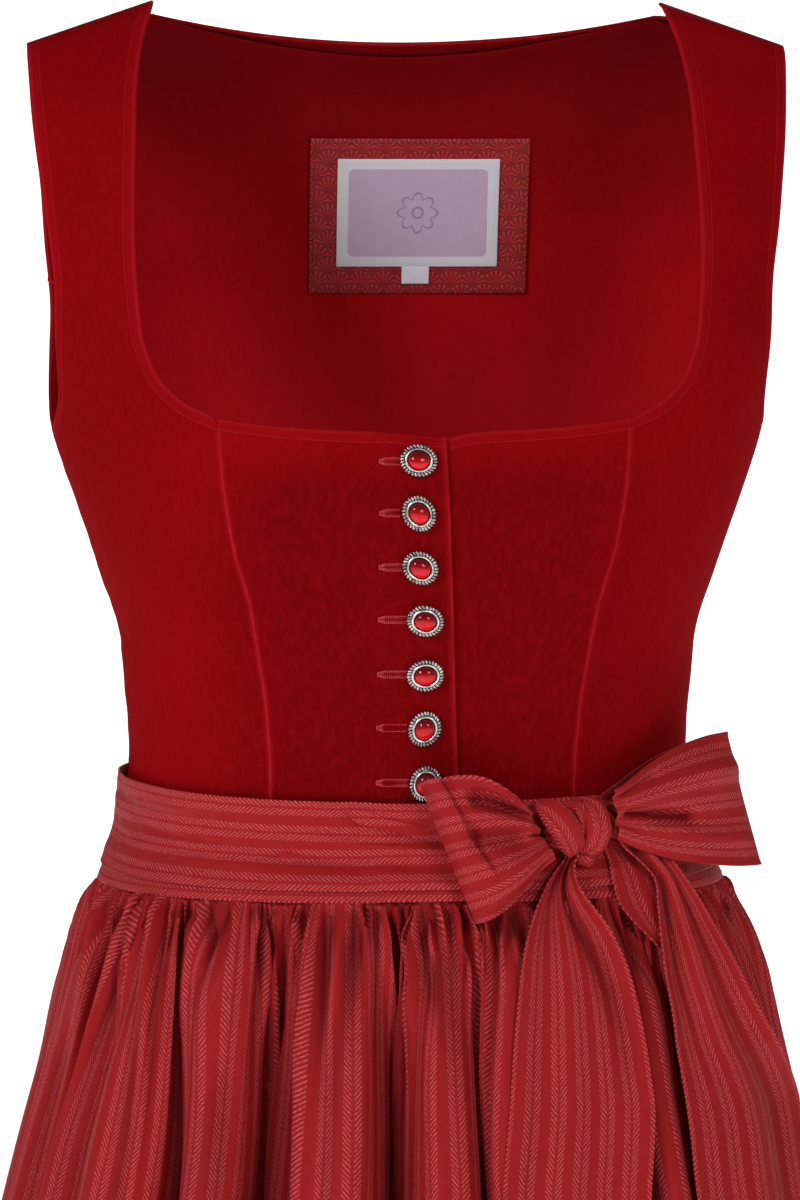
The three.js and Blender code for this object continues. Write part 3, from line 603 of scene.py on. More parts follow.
def fan_material():
    """Rows of small fans, each row set between the fans of the row above, with rays and a curved top."""
    s = Shader("fan_jacquard", Specular_IOR_Level=0.4)
    _, across, along = s.uv()
    wide, tall = 1.05, 0.62  # spacing of the fans and of their rows, in units of 10 mm

    def fan(shift):
        down = (along / (2 * tall) + shift).fraction() * (2 * tall)
        side = ((across / wide + shift).fraction() - 0.5) * wide
        up = 0.68 - down
        far = length_of(side, up)
        rays = (side.angle_from(up) * 15.0).cosine().ramp(-0.2, 0.5)
        inside = far.ramp(0.64, 0.58) * far.ramp(0.08, 0.14)
        above = up.ramp(0.0, 0.04)
        return rays * inside * above, far.ramp(0.66, 0.62) * above

    first, cover = fan(0.0)
    lines = first.at_least(fan(0.5)[0] * (1.0 - cover))
    ground = s.blend(s.noise(s.place(), 60.0, 3.0).ramp(0.3, 0.7), "7c070b", "880a0e")
    s.set(Base_Color=s.blend(lines, ground, "b0252b"), Roughness=0.6 - lines * 0.25)
    return s.set(Normal=s.bump(lines, 0.6, 0.0005))


def label_material():
    """White woven cloth with a pink rounded field and a plain flower of eight petals."""
    s = Shader("label_weave", Roughness=0.5, Specular_IOR_Level=0.3)
    place, across, along = s.uv()
    half_wide, half_tall, corner = 3.22, 2.02, 0.25
    from_side = (abs(across) - (half_wide - corner)).at_least(0.0)
    from_end = (abs(along) - (half_tall - corner)).at_least(0.0)
    field = length_of(from_side, from_end).ramp(corner + 0.02, corner - 0.02)
    far = length_of(across, along)
    petal = 0.62 + abs((across.angle_from(along) * 4.0).cosine()) * 0.3
    outline = abs(far - petal).ramp(0.06, 0.025)
    heart = abs(far - 0.24).ramp(0.06, 0.025)
    pink = s.blend(s.noise(place, 1.2, 3.0), "b79ab4", "c2a4bd")
    base = s.layered(s.blend(field, "cfced4", pink), (outline.at_least(heart), 0.8, "86688a"))
    return s.set(Base_Color=base, Normal=s.bump(wave(along, 22), 0.2, 0.0002))


def tag_material():
    s = Shader("tag_weave", Roughness=0.6, Specular_IOR_Level=0.2)
    place, _, along = s.uv()
    base = s.blend(s.noise(place, 2.0, 2.0), "d3d2da", "e0dfe6")
    return s.set(Base_Color=base, Normal=s.bump(wave(along, 22), 0.2, 0.0002))


def metal_material(name, tarnish_noise, limits, dark, light, roughness, scratched=False):
    """Silver between a dark and a light colour. limits is where its tarnish starts and ends."""
    s = Shader(name, Metallic=1.0)
    place = s.place()
    tarnish = s.noise(place, *tarnish_noise)
    mask = tarnish if limits is None else tarnish.ramp(*limits)
    if scratched:
        s.set(Normal=s.bump(s.noise(place, 900.0, 2.0), 0.2, 0.0001))
    return s.set(Base_Color=s.blend(mask, dark, light), Roughness=roughness + tarnish * 0.2)


def stone_material():
    """A clear red stone, with painted light: dark at the top and bright red in its lower half, where light
    from above would gather inside it.
    """
    s = Shader("red_stone", Roughness=0.1, Specular_IOR_Level=0.28)
    cloud = (s.noise(s.place(), 260.0, 3.0) - 0.5) * 0.2
    # Painted light: the colour brightens towards the bottom of the stone
    painted_glow = (s.parts(s.place("Generated"))[2] + cloud).ramp(0.85, 0.1)
    return s.set(Base_Color=s.blend(painted_glow, "6c0409", "d80d15"))


def thread_material(name, dark, light):
    s = Shader(name, Roughness=0.6, Specular_IOR_Level=0.3, Sheen_Weight=0.2)
    return s.set(Base_Color=s.blend(s.noise(s.place(), 700.0, 2.0), dark, light))


velvet = velvet_material()
lining = lining_material()
skirt_cotton = skirt_material()
jacquard = jacquard_material()
fans = fan_material()
label_weave = label_material()
tag_weave = tag_material()
fine_tarnish = (420.0, 4.0, 0.65)
silver = metal_material("silver", fine_tarnish, (0.35, 0.62), "b5b3b0", "e2e0dd", 0.22, scratched=True)
rope_silver = metal_material("rope_silver", fine_tarnish, (0.35, 0.65), "7e7c79", "cfcdc9", 0.28)
dark_silver = metal_material("dark_silver", (500.0, 3.0), None, "2c2a29", "5a5754", 0.4)
red_stone = stone_material()
red_thread = thread_material("red_thread", "a01018", "c82a30")
dark_thread = thread_material("dark_thread", "4a0206", "700408")
velvet_thread = thread_material("velvet_thread", "860a10", "a0141b")
pale_thread = thread_material("pale_thread", "b9b8c2", "e6e5ec")

# Bodice

# place across at a drop: strap_edge, princess, back_seam and placket_edge. Degrees from the middle of the
# front or back at a drop: the armholes. Drop at a place across: front_neck.

strap_edge = curve([
    (0, 113), (20, 119), (50, 122), (100, 123), (145, 120.5), (157, 117), (165, 113),
    (171, 107.5), (176, 101), (179.5, 93.5), (STRAP_FOOT, 88.65),
])
princess = curve([
    (STRAP_FOOT, 88.5), (210, 86), (240, 81), (260, 75), (282, 71), (305, 67.5), (325, 66), (362, 65),
])
front_neck = curve([
    (-88.5, 181.5), (-80, 182.8), (-60, 185), (-40, 186.3), (-20, 187.2), (7, 189.7),
    (20, 187.4), (40, 186.3), (60, 185), (80, 182.8), (88.5, 181.5),
])
front_armhole = curve([
    (0, 56.7), (50, 57.9), (100, 60.5), (150, 67.8), (170, 72.5), (180, 77), (186, 83), (UNDERARM, 92),
])
back_armhole = curve([(0, 56.7), (60, 58.3), (BACK_SEAM_TOP, 63.5), (155, 71), (178, 80), (UNDERARM, 88)])
back_seam = curve([
    (BACK_SEAM_TOP, 159.2), (135, 134), (160, 110), (200, 85), (250, 64), (300, 52), (WAIST, 47),
])
placket_edge = curve([(180, 6.55), (WAIST, 14.76)])
RIM_OFFSETS = np.array([0, 0.5, 1.1, 1.9, 3.0, 4.3, 6.0])  # columns and rows next to an edge
PANEL_WIDTH = 80.0  # of a usual panel
SOFT_SEAM = 0.1  # how round a rim in a seam is
BATCH = 4000  # points measured at a time


def back_neck(x):
    return np.maximum(SHOULDER, NECK_DIP * np.maximum(0, 1 - (x / NECK_HALF) ** 2) ** 1.25)


def placket_lift(x):
    return PLACKET_LIFT * smooth((x - LIFT_START) / (LIFT_FULL - LIFT_START))


def spaced(length, count):
    """Distances along a length: close next to both of its ends and even in the middle."""
    length = np.asarray(length, float)[..., None]
    last = RIM_OFFSETS[-1]
    middle = last + (length - 2 * last) * np.linspace(0, 1, count + 2)[1:-1]
    near = np.broadcast_to(RIM_OFFSETS, (*length.shape[:-1], len(RIM_OFFSETS)))
    return np.concatenate([near, middle, length - near[..., ::-1]], axis=-1)


def panel(left, right, top, columns, rows, raised=None):
    """Turns and drops of a panel between two edges, given as turns at a drop. top is the drop of its
    upper edge for the part of the way across."""
    part = spaced(PANEL_WIDTH, columns) / PANEL_WIDTH
    tops = np.broadcast_to(top(part), part.shape)
    drops = (tops[:, None] + spaced(BODICE_FOOT - tops, rows)).T
    start, end = left(drops), right(drops)
    width = np.abs(end - start) * half_at(drops)
    index = np.arange(part.size)
    turns = start + (end - start) * spaced(width, columns)[:, index, index] / width
    return points_on(turns, drops, 0 if raised is None else raised(turns, drops)), turns, drops


def distance_to(points, lines):
    """The distance of each point to the nearest vertex of some lines."""
    line = np.concatenate(lines)
    flat = points.reshape(-1, 3)
    nearest = np.full(len(flat), np.inf)
    for start in range(0, len(flat), BATCH):
        apart = np.linalg.norm(flat[start : start + BATCH, None] - line[None], axis=-1)
        nearest[start : start + BATCH] = apart.min(axis=1)
    return nearest.reshape(points.shape[:-1])


def both_sides(turn, drop):
    line = points_on(turn, drop)
    return [line, line * [-1, 1, 1]]


strap_drops = np.linspace(0.01, STRAP_FOOT, 260)
neck_xs = np.linspace(-88.6, 88.6, 240)
back_xs = np.linspace(-NECK_HALF, NECK_HALF, 260)
back_neck_drops = back_neck(back_xs) + 0.01
arm_drops = np.linspace(0.01, UNDERARM, 260)
# Straps, neck in front and behind, and armholes in front and behind
edge_lines = [
    *both_sides(turn_at(strap_edge(strap_drops), strap_drops), strap_drops),
    points_on(turn_at(neck_xs, front_neck(neck_xs)), front_neck(neck_xs)),
    points_on(back_turn_at(back_xs, back_neck_drops), back_neck_drops),
    *both_sides(front_armhole(arm_drops) * DEG, arm_drops),
    *both_sides(math.pi - back_armhole(arm_drops) * DEG, arm_drops),
]
seam_drops = np.linspace(STRAP_FOOT + 4.5, WAIST, 260)
back_drops = np.linspace(BACK_SEAM_TOP, WAIST, 340)
# Princess, side, back and shoulder seams
seam_lines = [
    *both_sides(turn_at(princess(seam_drops), seam_drops), seam_drops),
    *both_sides(SIDE_SEAM, np.linspace(UNDERARM + 3, WAIST, 240)),
    *both_sides(back_turn_at(back_seam(back_drops), back_drops), back_drops),
    *both_sides(np.linspace(35, 56.7, 60) * DEG, 0.01),
]


def velvet_relief(points, turns, drops):
    """Soft unevenness of worn velvet: puckers along seams, and faint drag lines at the waist."""
    slow = ripple(turns * 2.2, drops / 55, 11) * 0.5
    drag = ripple(turns * 1.3, drops / 16, 12) * 0.35 * smooth((drops - 290) / 60)
    seam = distance_to(points, seam_lines)
    pucker = ripple(turns * 0.5, drops / 9, 13) * 0.25 * bell(seam, 7)
    return slow + drag + pucker - 0.3 * bell(seam, 1.6), seam


def velvet_piece(node, left, right, top, columns, rows, roll, raised=None, mirror=False, fold=None):
    """fold is a line of points along an edge that is folded under."""
    points, turns, drops = panel(left, right, top, columns, rows, raised)
    relief, seam = velvet_relief(points, turns, drops)
    # The folded placket edge counts as a seam, for the seams' bump and their painted highlight.
    if fold is not None:
        seam = np.minimum(seam, 0.3 + 0.75 * distance_to(points, [fold]))
    edge = distance_to(points, edge_lines)
    points = moved_out(points, relief * smooth(drops / 30))
    if mirror:
        points = points[:, ::-1] * [-1, 1, 1]
        edge = edge[:, ::-1]
        seam = seam[:, ::-1]
        roll = (roll[0], roll[3], roll[2], roll[1])
    values = {"edge_mm": edge, "seam_mm": seam}
    name = f"velvet_{node}"
    shell(name, points, VELVET, [velvet, lining], f"bodice_{node}", STRETCHED, values=values, roll=roll)


def velvet_pair(node, **shape):
    velvet_piece(f"{node}_left", **shape)
    velvet_piece(f"{node}_right", **shape, mirror=True)


STRETCHED = {"held": "stretched"}
placket_drops = np.linspace(186, WAIST, 240)
placket_turns = turn_at(placket_edge(placket_drops), placket_drops)

velvet_piece(
    "front_right",
    left=lambda drop: turn_at(-(princess(drop) - SEAM), drop),
    right=lambda drop: turn_at(placket_edge(drop), drop),
    top=lambda part: front_neck(mix(-88, 7, part)),
    columns=44,
    rows=70,
    roll=(1, 1, 0, SOFT_SEAM),
    raised=lambda turn, drop: placket_lift(half_at(drop) * np.sin(turn)),
    fold=points_on(placket_turns, placket_drops, PLACKET_LIFT),
)
velvet_piece(
    "front_left",
    left=lambda drop: turn_at(UNDERLAP, drop),
    right=lambda drop: turn_at(princess(drop) - SEAM, drop),
    top=lambda part: front_neck(mix(UNDERLAP, 88, part)),
    columns=44,
    rows=70,
    roll=(1, SOFT_SEAM, 0, 1),
)


def side_front_left(drop):
    edge = np.where(drop < STRAP_FOOT, strap_edge(np.minimum(drop, STRAP_FOOT)), princess(drop) + SEAM)
    return turn_at(edge, drop)


velvet_pair(
    "side_front",
    left=side_front_left,
    right=lambda drop: front_armhole(drop) * DEG - np.where(drop < UNDERARM, 0, SIDE_GAP),
    top=lambda part: SHOULDER,
    columns=36,
    rows=120,
    roll=(SOFT_SEAM, 1, 0, 1),
)


def side_back_right(drop):
    return back_turn_at(back_seam(drop) + SEAM, drop)


def armhole_top(part):
    """Where the columns of the side back panel meet the armhole."""
    low = np.full(part.shape, float(BACK_SEAM_TOP))
    high = np.full(part.shape, float(UNDERARM))
    for _ in range(40):
        middle = (low + high) / 2
        across = mix(SIDE_SEAM + SIDE_GAP, side_back_right(middle), part)
        inside = math.pi - back_armhole(middle) * DEG < across
        high = np.where(inside, middle, high)
        low = np.where(inside, low, middle)
    return (low + high) / 2


velvet_pair(
    "side_back",
    left=lambda drop: np.full(np.shape(drop), SIDE_SEAM + SIDE_GAP),
    right=side_back_right,
    top=armhole_top,
    columns=30,
    rows=76,
    roll=(1, SOFT_SEAM, 0, SOFT_SEAM),
)


def back_limit(drop):
    armhole = half_at(drop) * np.sin(back_armhole(np.minimum(drop, BACK_SEAM_TOP)) * DEG)
    return np.where(drop < BACK_SEAM_TOP - 0.5, armhole, back_seam(drop) - SEAM)


velvet_piece(
    "back",
    left=lambda drop: back_turn_at(back_limit(drop), drop),
    right=lambda drop: math.pi + turn_at(back_limit(drop), drop),
    top=lambda part: back_neck((1 - 2 * part) * SHOULDER_HALF),
    columns=110,
    rows=131,
    roll=(1, 1, 0, 1),
)


def lining_piece():
    """The lining hangs inside the back, from just below the neckline."""
    inset = 4.0
    steps = 121
    part = np.linspace(-1, 1, steps)
    widest = math.pi - back_armhole(inset) * DEG
    start = half_at(inset) * np.sin(math.pi - (math.pi - widest) * part)
    tops = back_neck(start) + inset
    drops = tops[None] + (BODICE_FOOT - 1 - tops)[None] * np.linspace(0, 1, steps)[:, None]
    limit = back_armhole(np.minimum(drops, UNDERARM)) * DEG - inset / half_at(drops)
    turns = math.pi + part[None] * limit
    soft = ripple(turns * 1.6, drops / 70, 21) * 0.5 + ripple(turns * 4, drops / 30, 22) * 0.15
    points = moved_out(points_on(turns, drops, LINING_OUT), soft)
    shell("back_lining", points, LINING, [lining], "bodice_back_lining", STRETCHED)


lining_piece()

# Patch, label and size tag inside the back: place across and drop of their edges

PATCH = {"left": -38.6, "right": 61.5, "top": 57, "foot": 127.7}
LABEL = {"left": -26, "right": 48, "top": 66, "foot": 115}
TAG = {"left": 4.5, "right": 16.5, "top": 115.4, "foot": 123}
TAG_CUT = {"held": "stretched", "flat": (0.0122, 0.0102), "area": 0.000124}  # turned under at its top


def inside_piece(name, node, area, columns, rows, lift, wall, material, sheet=STRETCHED):
    left, right, top, foot = area["left"], area["right"], area["top"], area["foot"]
    downs = np.linspace(top, foot, rows + 1)
    drop, x = np.meshgrid(downs, np.linspace(right, left, columns + 1), indexing="ij")
    points = points_on(back_turn_at(x, drop), drop, lift)
    uv = np.stack([(x - (left + right) / 2) / 10, (drop - (top + foot) / 2) / 10], axis=-1)
    shell(name, points, wall, [material], node, sheet, uv=uv)


inside_piece("fan_patch", "label_patch", PATCH, 60, 44, PATCH_OUT, PATCH_WALL, fans)
inside_piece("label_cloth", "label", LABEL, 48, 32, LABEL_OUT, LABEL_WALL, label_weave)
inside_piece("size_tag_cloth", "size_tag", TAG, 8, 6, LABEL_OUT, LABEL_WALL, tag_weave, TAG_CUT)


def stitches_inside(name, area, inset, length, gap, width, lift, material):
    """Running stitches round an area on the inside of the back."""
    left, right = area["left"] + inset, area["right"] - inset
    top, foot = area["top"] + inset, area["foot"] - inset
    corners = [(left, top), (right, top), (right, foot), (left, foot)]
    parts = []
    for (x0, d0), (x1, d1) in zip(corners, corners[1:] + corners[:1]):
        run = math.hypot(x1 - x0, d1 - d0)
        for i in range(int(run // (length + gap))):
            a = (i * (length + gap) + gap / 2) / run
            b = a + length / run
            ends = np.array([[mix(x0, x1, t), mix(d0, d1, t)] for t in (a, b)])
            points, normals = on_form(back_turn_at(ends[:, 0], ends[:, 1]), ends[:, 1], lift)
            parts.append((*capsule(points[0], points[1], width, width, -normals[0]), 0))
    joined(name, parts, [material])


stitches_inside("patch_stitches", PATCH, 1.3, 2.1, 0.9, 0.5, PATCH_OUT - PATCH_WALL - 0.1, dark_thread)
stitches_inside("label_stitches", LABEL, 1.7, 1.5, 1.0, 0.35, LABEL_OUT - LABEL_WALL - 0.05, pale_thread)

# Skirt folds

FOLD_TOP = 390
FOLD_LOW = 505
# ridge and valley in degrees at the waist, the same lower down, and how deep the valley is
FOLDS = np.array([
    (-76, -64.5, -81, -74, 1.1),
    (-61, -57.5, -69, -63.5, 0.3),
    (-55, -47, -54, -43.5, 0.85),
    (-39, -28, -36, -29, 1.05),
    (-17, -6, -15.5, -8, 1.0),
    (1, 7.5, 1.5, 5.5, 0.6),
    (13, 19, 10, 15.5, 0.7),
    (25, 31, 22, 29, 0.9),
    (34.5, 38, 34, 38.5, 0.8),
    (47, 56, 46, 54, 1.0),
    (65, 74, 63, 73, 1.0),
    (83, 92, 82, 92, 0.9),
    (98, 105, 99, 106, 0.8),
    (114, 122, 114, 123, 1.0),
    (131, 138, 131, 139, 0.8),
    (147, 157, 147, 156, 1.1),
    (166, 173, 165, 174, 0.7),
    (181, 190, 182, 190, 1.0),
    (199, 207, 199, 207, 0.9),
    (216, 225, 215, 224, 1.1),
    (234, 241, 233, 242, 0.8),
    (249, 256, 250, 256, 0.9),
    (264, 272, 263, 272, 1.0),
])
FOLD_COUNT = len(FOLDS)
# The apron runs between these places, and the skirt sinks this far under it.
APRON_FROM = -1.5
APRON_TO = 12.5
SKIRT_SINK = -4.2
COVERED = 384  # the drop down to which the band covers the skirt
fold_depth = curve([
    (362, 0.8), (388, 2.5), (400, 7), (432, 17), (480, 27), (560, 36), (700, 40), (1062, 44),
])
# A fold falls steeply on the side of the wearer's left, leaning a little over the valley there.
STEEP_POWER = 2.2
GENTLE_POWER = 1.15
LEAN = 3.4


def fold_parts(place):
    """The row of the fold at a place, and how far on it is towards the next one."""
    index = np.floor(place).astype(int)
    return index, place - index


def fold_turn(place, drop):
    index, part = fold_parts(place)
    fold = FOLDS[index % FOLD_COUNT]
    following = FOLDS[(index + 1) % FOLD_COUNT]
    turned = 360 * (index // FOLD_COUNT)
    turned_next = 360 * ((index + 1) // FOLD_COUNT)
    low = smooth((drop - FOLD_TOP) / (FOLD_LOW - FOLD_TOP))
    ridge = mix(fold[..., 0], fold[..., 2], low) + turned
    valley = mix(fold[..., 1], fold[..., 3], low) + turned
    next_ridge = mix(following[..., 0], following[..., 2], low) + turned_next
    turn = np.where(part < 0.5, mix(ridge, valley, 2 * part), mix(valley, next_ridge, 2 * part - 1)) * DEG
    return turn + LEAN * fold[..., 4] * bell(part - 0.36, 0.1) * smooth((drop - 410) / 90) / half_at(drop)


def fold_inset(place, drop):
    index, part = fold_parts(place)
    power = np.where(part < 0.5, STEEP_POWER, GENTLE_POWER)
    deep = FOLDS[index % FOLD_COUNT][..., 4]
    return fold_depth(drop) * deep * ((1 - np.cos(CIRCLE * part)) / 2) ** power


def fold_point(place, drop):
    return points_on(fold_turn(place, drop), drop, -fold_inset(place, drop))


# Width of flat cloth from the first fold, measured along the folds where they hang freely
CLOTH_DROP = 560
cloth_places = np.linspace(-3, 26, 2901)
cloth_line = fold_point(cloth_places, np.full(cloth_places.shape, float(CLOTH_DROP)))
cloth_run = run_along(cloth_line)

# Gathers under the band, from fine to wide: spacing in cloth width, height by drop, how narrow their
# ridges are, and how far they lean sideways within a length below the band
GATHERS_TOP = 388
GATHERS = [
    {
        "spacing": 11.5,
        "seed": 31,
        "height": curve([(388, 1.4), (391, 4.2), (397, 4.6), (405, 2.7), (414, 0.9), (430, 0.0)]),
        "narrow": 1.5,
        "lean": 0.75,
        "length": 26,
    },
    {
        "spacing": 22.0,
        "seed": 32,
        "height": curve([
            (388, 0.8), (394, 2.8), (407, 5.2), (428, 4.8), (456, 2.5), (500, 0.9), (600, 0.3),
        ]),
        "narrow": 1.2,
        "lean": 0.6,
        "length": 60,
    },
    {
        "spacing": 47.0,
        "seed": 33,
        "height": curve([
            (390, 0.0), (410, 1.0), (440, 2.2), (480, 2.4), (540, 1.5), (640, 0.8), (1062, 0.7),
        ]),
        "narrow": 0.8,
        "lean": 0.4,
        "length": 110,
    },
]


def gathers(cloth, drop):
    """Height of the gathers above and below the folds, with uneven spacing and size."""
    total = np.zeros(np.broadcast(cloth, drop).shape)
    for row in GATHERS:
        random = np.random.default_rng(row["seed"])
        spacing = row["spacing"]
        shift = np.zeros_like(cloth)
        size = np.full_like(cloth, 0.75)
        for _ in range(4):
            long = spacing * random.uniform(2.2, 6.0)
            phase = random.uniform(0, CIRCLE)
            shift = shift + 0.28 * spacing * np.sin(CIRCLE * cloth / long + phase)
            size = size + 0.16 * np.sin(CIRCLE * cloth / (long * 0.77) + 2.3 * phase)
        # Neighbouring gathers lean towards and away from each other, so that some of them run together.
        below = drop - GATHERS_TOP
        lower = 1.5 * np.tanh(below / (1.5 * row["length"]))
        lean = row["lean"] * spacing * np.sin(CIRCLE * cloth / (3.3 * spacing) + row["seed"]) * lower
        angle = CIRCLE * (cloth + shift + lean) / spacing
        crest = 2 * ((1 + np.cos(angle + 0.3 * np.sin(angle))) / 2) ** row["narrow"] - 0.8
        longer = 1 + 0.5 * np.sin(CIRCLE * cloth / (1.7 * spacing) + row["seed"])
        total = total + row["height"](GATHERS_TOP + below / longer) * size * crest
    return total


def fold_grid(start, end, per_fold, drops, lift, fullness):
    """Points of gathered cloth, their cloth coordinates, and how much painted shade darkens them in the
    valleys and between the gathers, from 0 to 1.
    lift and fullness, the size of the gathers, take place and drop."""
    # One column more on each side gives the cloth at a seam the same direction on both of its sides.
    columns = int(round((end - start) * per_fold)) + 3
    step = (end - start) / (columns - 3)
    drop, place = np.meshgrid(drops, np.linspace(start - step, end + step, columns), indexing="ij")
    cloth = np.interp(place, cloth_places, cloth_run)
    full = fullness(place, drop)
    gathered = gathers(cloth, drop)
    wander = ripple(cloth / 90, drop / 240, 41) * 2.2 * smooth((drop - 420) / 200)
    points = moved_out(fold_point(place, drop), lift(place, drop) + full * gathered + wander)
    # Painted shade between the gathers and deep in the valleys of the folds
    pinch_shade = 0.85 * smooth(-gathered / 3.6) * full
    valley = np.minimum(smooth((fold_inset(place, drop) - 7) / 17) + pinch_shade, 1)
    uv = np.stack([cloth / 10, drop / 10], axis=-1)
    values = {"valley": valley[:, 1:-1], "hem_mm": drops[-1] - drop[:, 1:-1]}
    return {"points": points[:, 1:-1], "uv": uv[:, 1:-1], "values": values}


def dense_rows(top, foot):
    """Drops of rows: close under the band and wider apart lower down."""
    drops = [top]
    while drops[-1] < foot:
        step = np.interp(drops[-1], [380, 430, 480, 560, 700], [1.9, 2.8, 5.0, 11.0, 26.0])
        drops.append(drops[-1] + step)
    drops = np.array(drops)
    return top + (drops - top) * (foot - top) / (drops[-1] - top)


def under_apron(place, drop):
    """1 where the skirt has the apron on it. The last folds lie next to the first one."""
    place = np.where(place > 20, place - FOLD_COUNT, place)
    inside = smooth((place - APRON_FROM) / 0.25) * smooth((APRON_TO - place) / 0.25)
    return inside * smooth((APRON_HEM + 4 - drop) / 12)


def skirt_lift(place, drop):
    return SKIRT_SINK * under_apron(place, drop) * smooth((drop - COVERED) / 20)


def skirt_gathers(place, drop):
    return (1 - under_apron(place, drop)) * smooth((drop - COVERED) / 6)


# place of the first and the last fold, and columns in each
GORES = [
    ("skirt_front_right", -0.5, 4.5, 12),
    ("skirt_front_left", 4.5, 11.5, 12),
    ("skirt_back_left", 11.5, 16.5, 26),
    ("skirt_back_right", 16.5, 22.5, 26),
]
SKIRT_HELD = {"held": "gathered", "rests_on": ["velvet_back"]}

for node, first, last, per_fold in GORES:
    grid = fold_grid(first, last, per_fold, dense_rows(WAIST + SEAM, HEM), skirt_lift, skirt_gathers)
    held = {"materials": [skirt_cotton], "sheet": SKIRT_HELD, "roll": (0, SOFT_SEAM, 1, SOFT_SEAM)}
    shell(f"{node}_cloth", wall=CLOTH, node=node, **held, **grid)

# Apron

APRON_PER_FOLD = 48
APRON_LIFT = 1.8
APRON_HELD = {"held": "gathered", "rests_on": ["skirt_front_left_cloth", "skirt_front_right_cloth"]}


def apron_lift(place, drop):
    return (APRON_LIFT + 0.6 * smooth((drop - 389) / 10)) * (1 - 0.8 * smooth((place - 9) / 2))


def apron_gathers(place, drop):
    """How full the gathers are: they start under the band, and are flatter round the sides."""
    return smooth((drop - 387) / 3) * (1 - 0.6 * bell(place + 0.9, 1.0) - 0.55 * bell(place - 11, 1.4))


def jacquard_piece(node, sheet, points, wall=CLOTH, **details):
    shell(f"{node}_cloth", points, wall, [jacquard], node, sheet, **details)


apron_rows = dense_rows(APRON_TOP - 2, APRON_HEM)
apron_grid = fold_grid(APRON_FROM, APRON_TO, APRON_PER_FOLD, apron_rows, apron_lift, apron_gathers)
jacquard_piece("apron", APRON_HELD, roll=(0, 1, 1, 1), **apron_grid)

# Waistband and sash

BAND_TOP = 347
BAND_FOOT = 388.1
BAND_LIFT = 1.2
BAND_WALL = 1.4
BAND_ROWS = 18
BAND_HELD = {"held": "stretched", "rests_on": ["velvet_front_right", "velvet_front_left"]}
SASH_LIFT = BAND_LIFT + BAND_WALL + 0.4
SASH_TOP = (340, 345.2)  # at the back and in front, like its foot
SASH_FOOT = (381.5, 384.6)
SASH_BACK_LIFT = 1.0
SASH_OVER_LIFT = 2.6
PAST_BAND = 104.5  # degrees from the centre front
CROSSING = 148
SASH_ROWS = 34
SASH_HELD = {"held": "stretched", "rests_on": ["apron_band_cloth"]}
KNOT_TURN = 31.2


def over_placket(x):
    return placket_lift(x) * (1 - smooth((x - 15.5) / 8))


def band_grid(degrees, part, top, foot, lift):
    """Points of a band round the waist with its cloth coordinates."""
    drop = mix(top, foot, part)
    x = np.where(np.cos(degrees * DEG) > 0, half_at(drop) * np.sin(degrees * DEG), NECK_HALF)
    points = points_on(degrees * DEG, drop, lift + over_placket(x))
    along = run_along(points[len(points) // 2])
    height = (foot - top) * part
    return points, np.stack([height / 10, np.broadcast_to(along / 10, height.shape)], axis=-1)


def round_waist(start, end, columns, rows):
    """Degrees and parts down of a band's points."""
    return np.meshgrid(np.linspace(start, end, columns + 1), np.linspace(0, 1, rows + 1))


def band_piece():
    degrees, part = round_waist(-103, 104, 260, BAND_ROWS)
    points, uv = band_grid(degrees, part, BAND_TOP, BAND_FOOT, BAND_LIFT + BAND_WALL)
    points = moved_out(points, 0.25 * ripple(uv[..., 1] / 2.2, uv[..., 0] / 3, 51))
    jacquard_piece("apron_band", BAND_HELD, points, BAND_WALL, uv=uv + [0.1, 0])


band_piece()

# Creases pulled towards the bow: turn and part down at both ends, height and half width of each
CREASES = [
    (-17, 0.1, 8, 0.46, -3.4, 0.08),
    (-24, 0.4, 8, 0.64, 1.8, 0.09),
    (-36, 0.6, 8, 0.8, -1.3, 0.05),
    (-30, 0.9, 8, 0.94, 0.8, 0.06),
    (-60, 0.62, -14, 0.74, -0.8, 0.05),
    (-70, 0.45, -10, 0.62, -0.7, 0.05),
    (-90, 0.2, -40, 0.3, -0.5, 0.05),
    (36, 0.35, 70, 0.2, -1.2, 0.07),
    (36, 0.6, 80, 0.75, -0.9, 0.06),
    (34, 0.85, 60, 0.95, -0.7, 0.05),
    (-150, 0.6, -100, 0.45, -0.7, 0.06),
    (110, 0.4, 170, 0.55, -0.7, 0.06),
]


def sash_relief(degrees, part, seed):
    height = 0.35 * ripple(degrees / 26, part * 2.2, seed) + 0.2 * ripple(degrees / 7, part * 5, seed + 1)
    for start, part_a, end, part_b, size, width in CREASES:
        along = (degrees - start) / (end - start)
        line = mix(part_a, part_b, along)
        ends = smooth(along / 0.2) * smooth((1.05 - along) / 0.25)
        height = height + size * bell(part - line, width) * ends
    return height


def sash_piece(node, start, end, columns, lift, seed):
    degrees, part = round_waist(start, end, columns, SASH_ROWS)
    facing = np.maximum(0, np.cos(degrees * DEG))
    relief = sash_relief(degrees, part, seed)
    edges = bell(part, 0.04) + bell(part - 1, 0.04)
    raised = lift(degrees) + CLOTH + 0.3 + relief * (1 - 0.5 * edges)
    points, uv = band_grid(degrees, part, mix(*SASH_TOP, facing), mix(*SASH_FOOT, facing), raised)
    # Painted shade in the dents of the creases
    dark = np.clip(-0.9 - relief, 0, 2) * 0.3
    jacquard_piece(node, SASH_HELD, points, uv=uv + [0.28, 0], values={"valley": dark})


def right_lift(degrees):
    return mix(SASH_LIFT, SASH_BACK_LIFT, smooth((degrees - PAST_BAND) / 8))


def left_lift(degrees):
    """This tie crosses over the other one behind."""
    return mix(right_lift(-degrees), SASH_OVER_LIFT, smooth((-degrees - CROSSING) / 10))


sash_piece("sash_left", -194, KNOT_TURN - 0.1, 420, left_lift, 61)
sash_piece("sash_right", KNOT_TURN + 0.1, 196, 300, right_lift, 63)

# Bow

LOOP_COLUMNS = 96
LOOP_ROWS = 44
LOOP_HELD = {"held": "folded", "rests_on": ["sash_left_cloth", "sash_right_cloth"]}


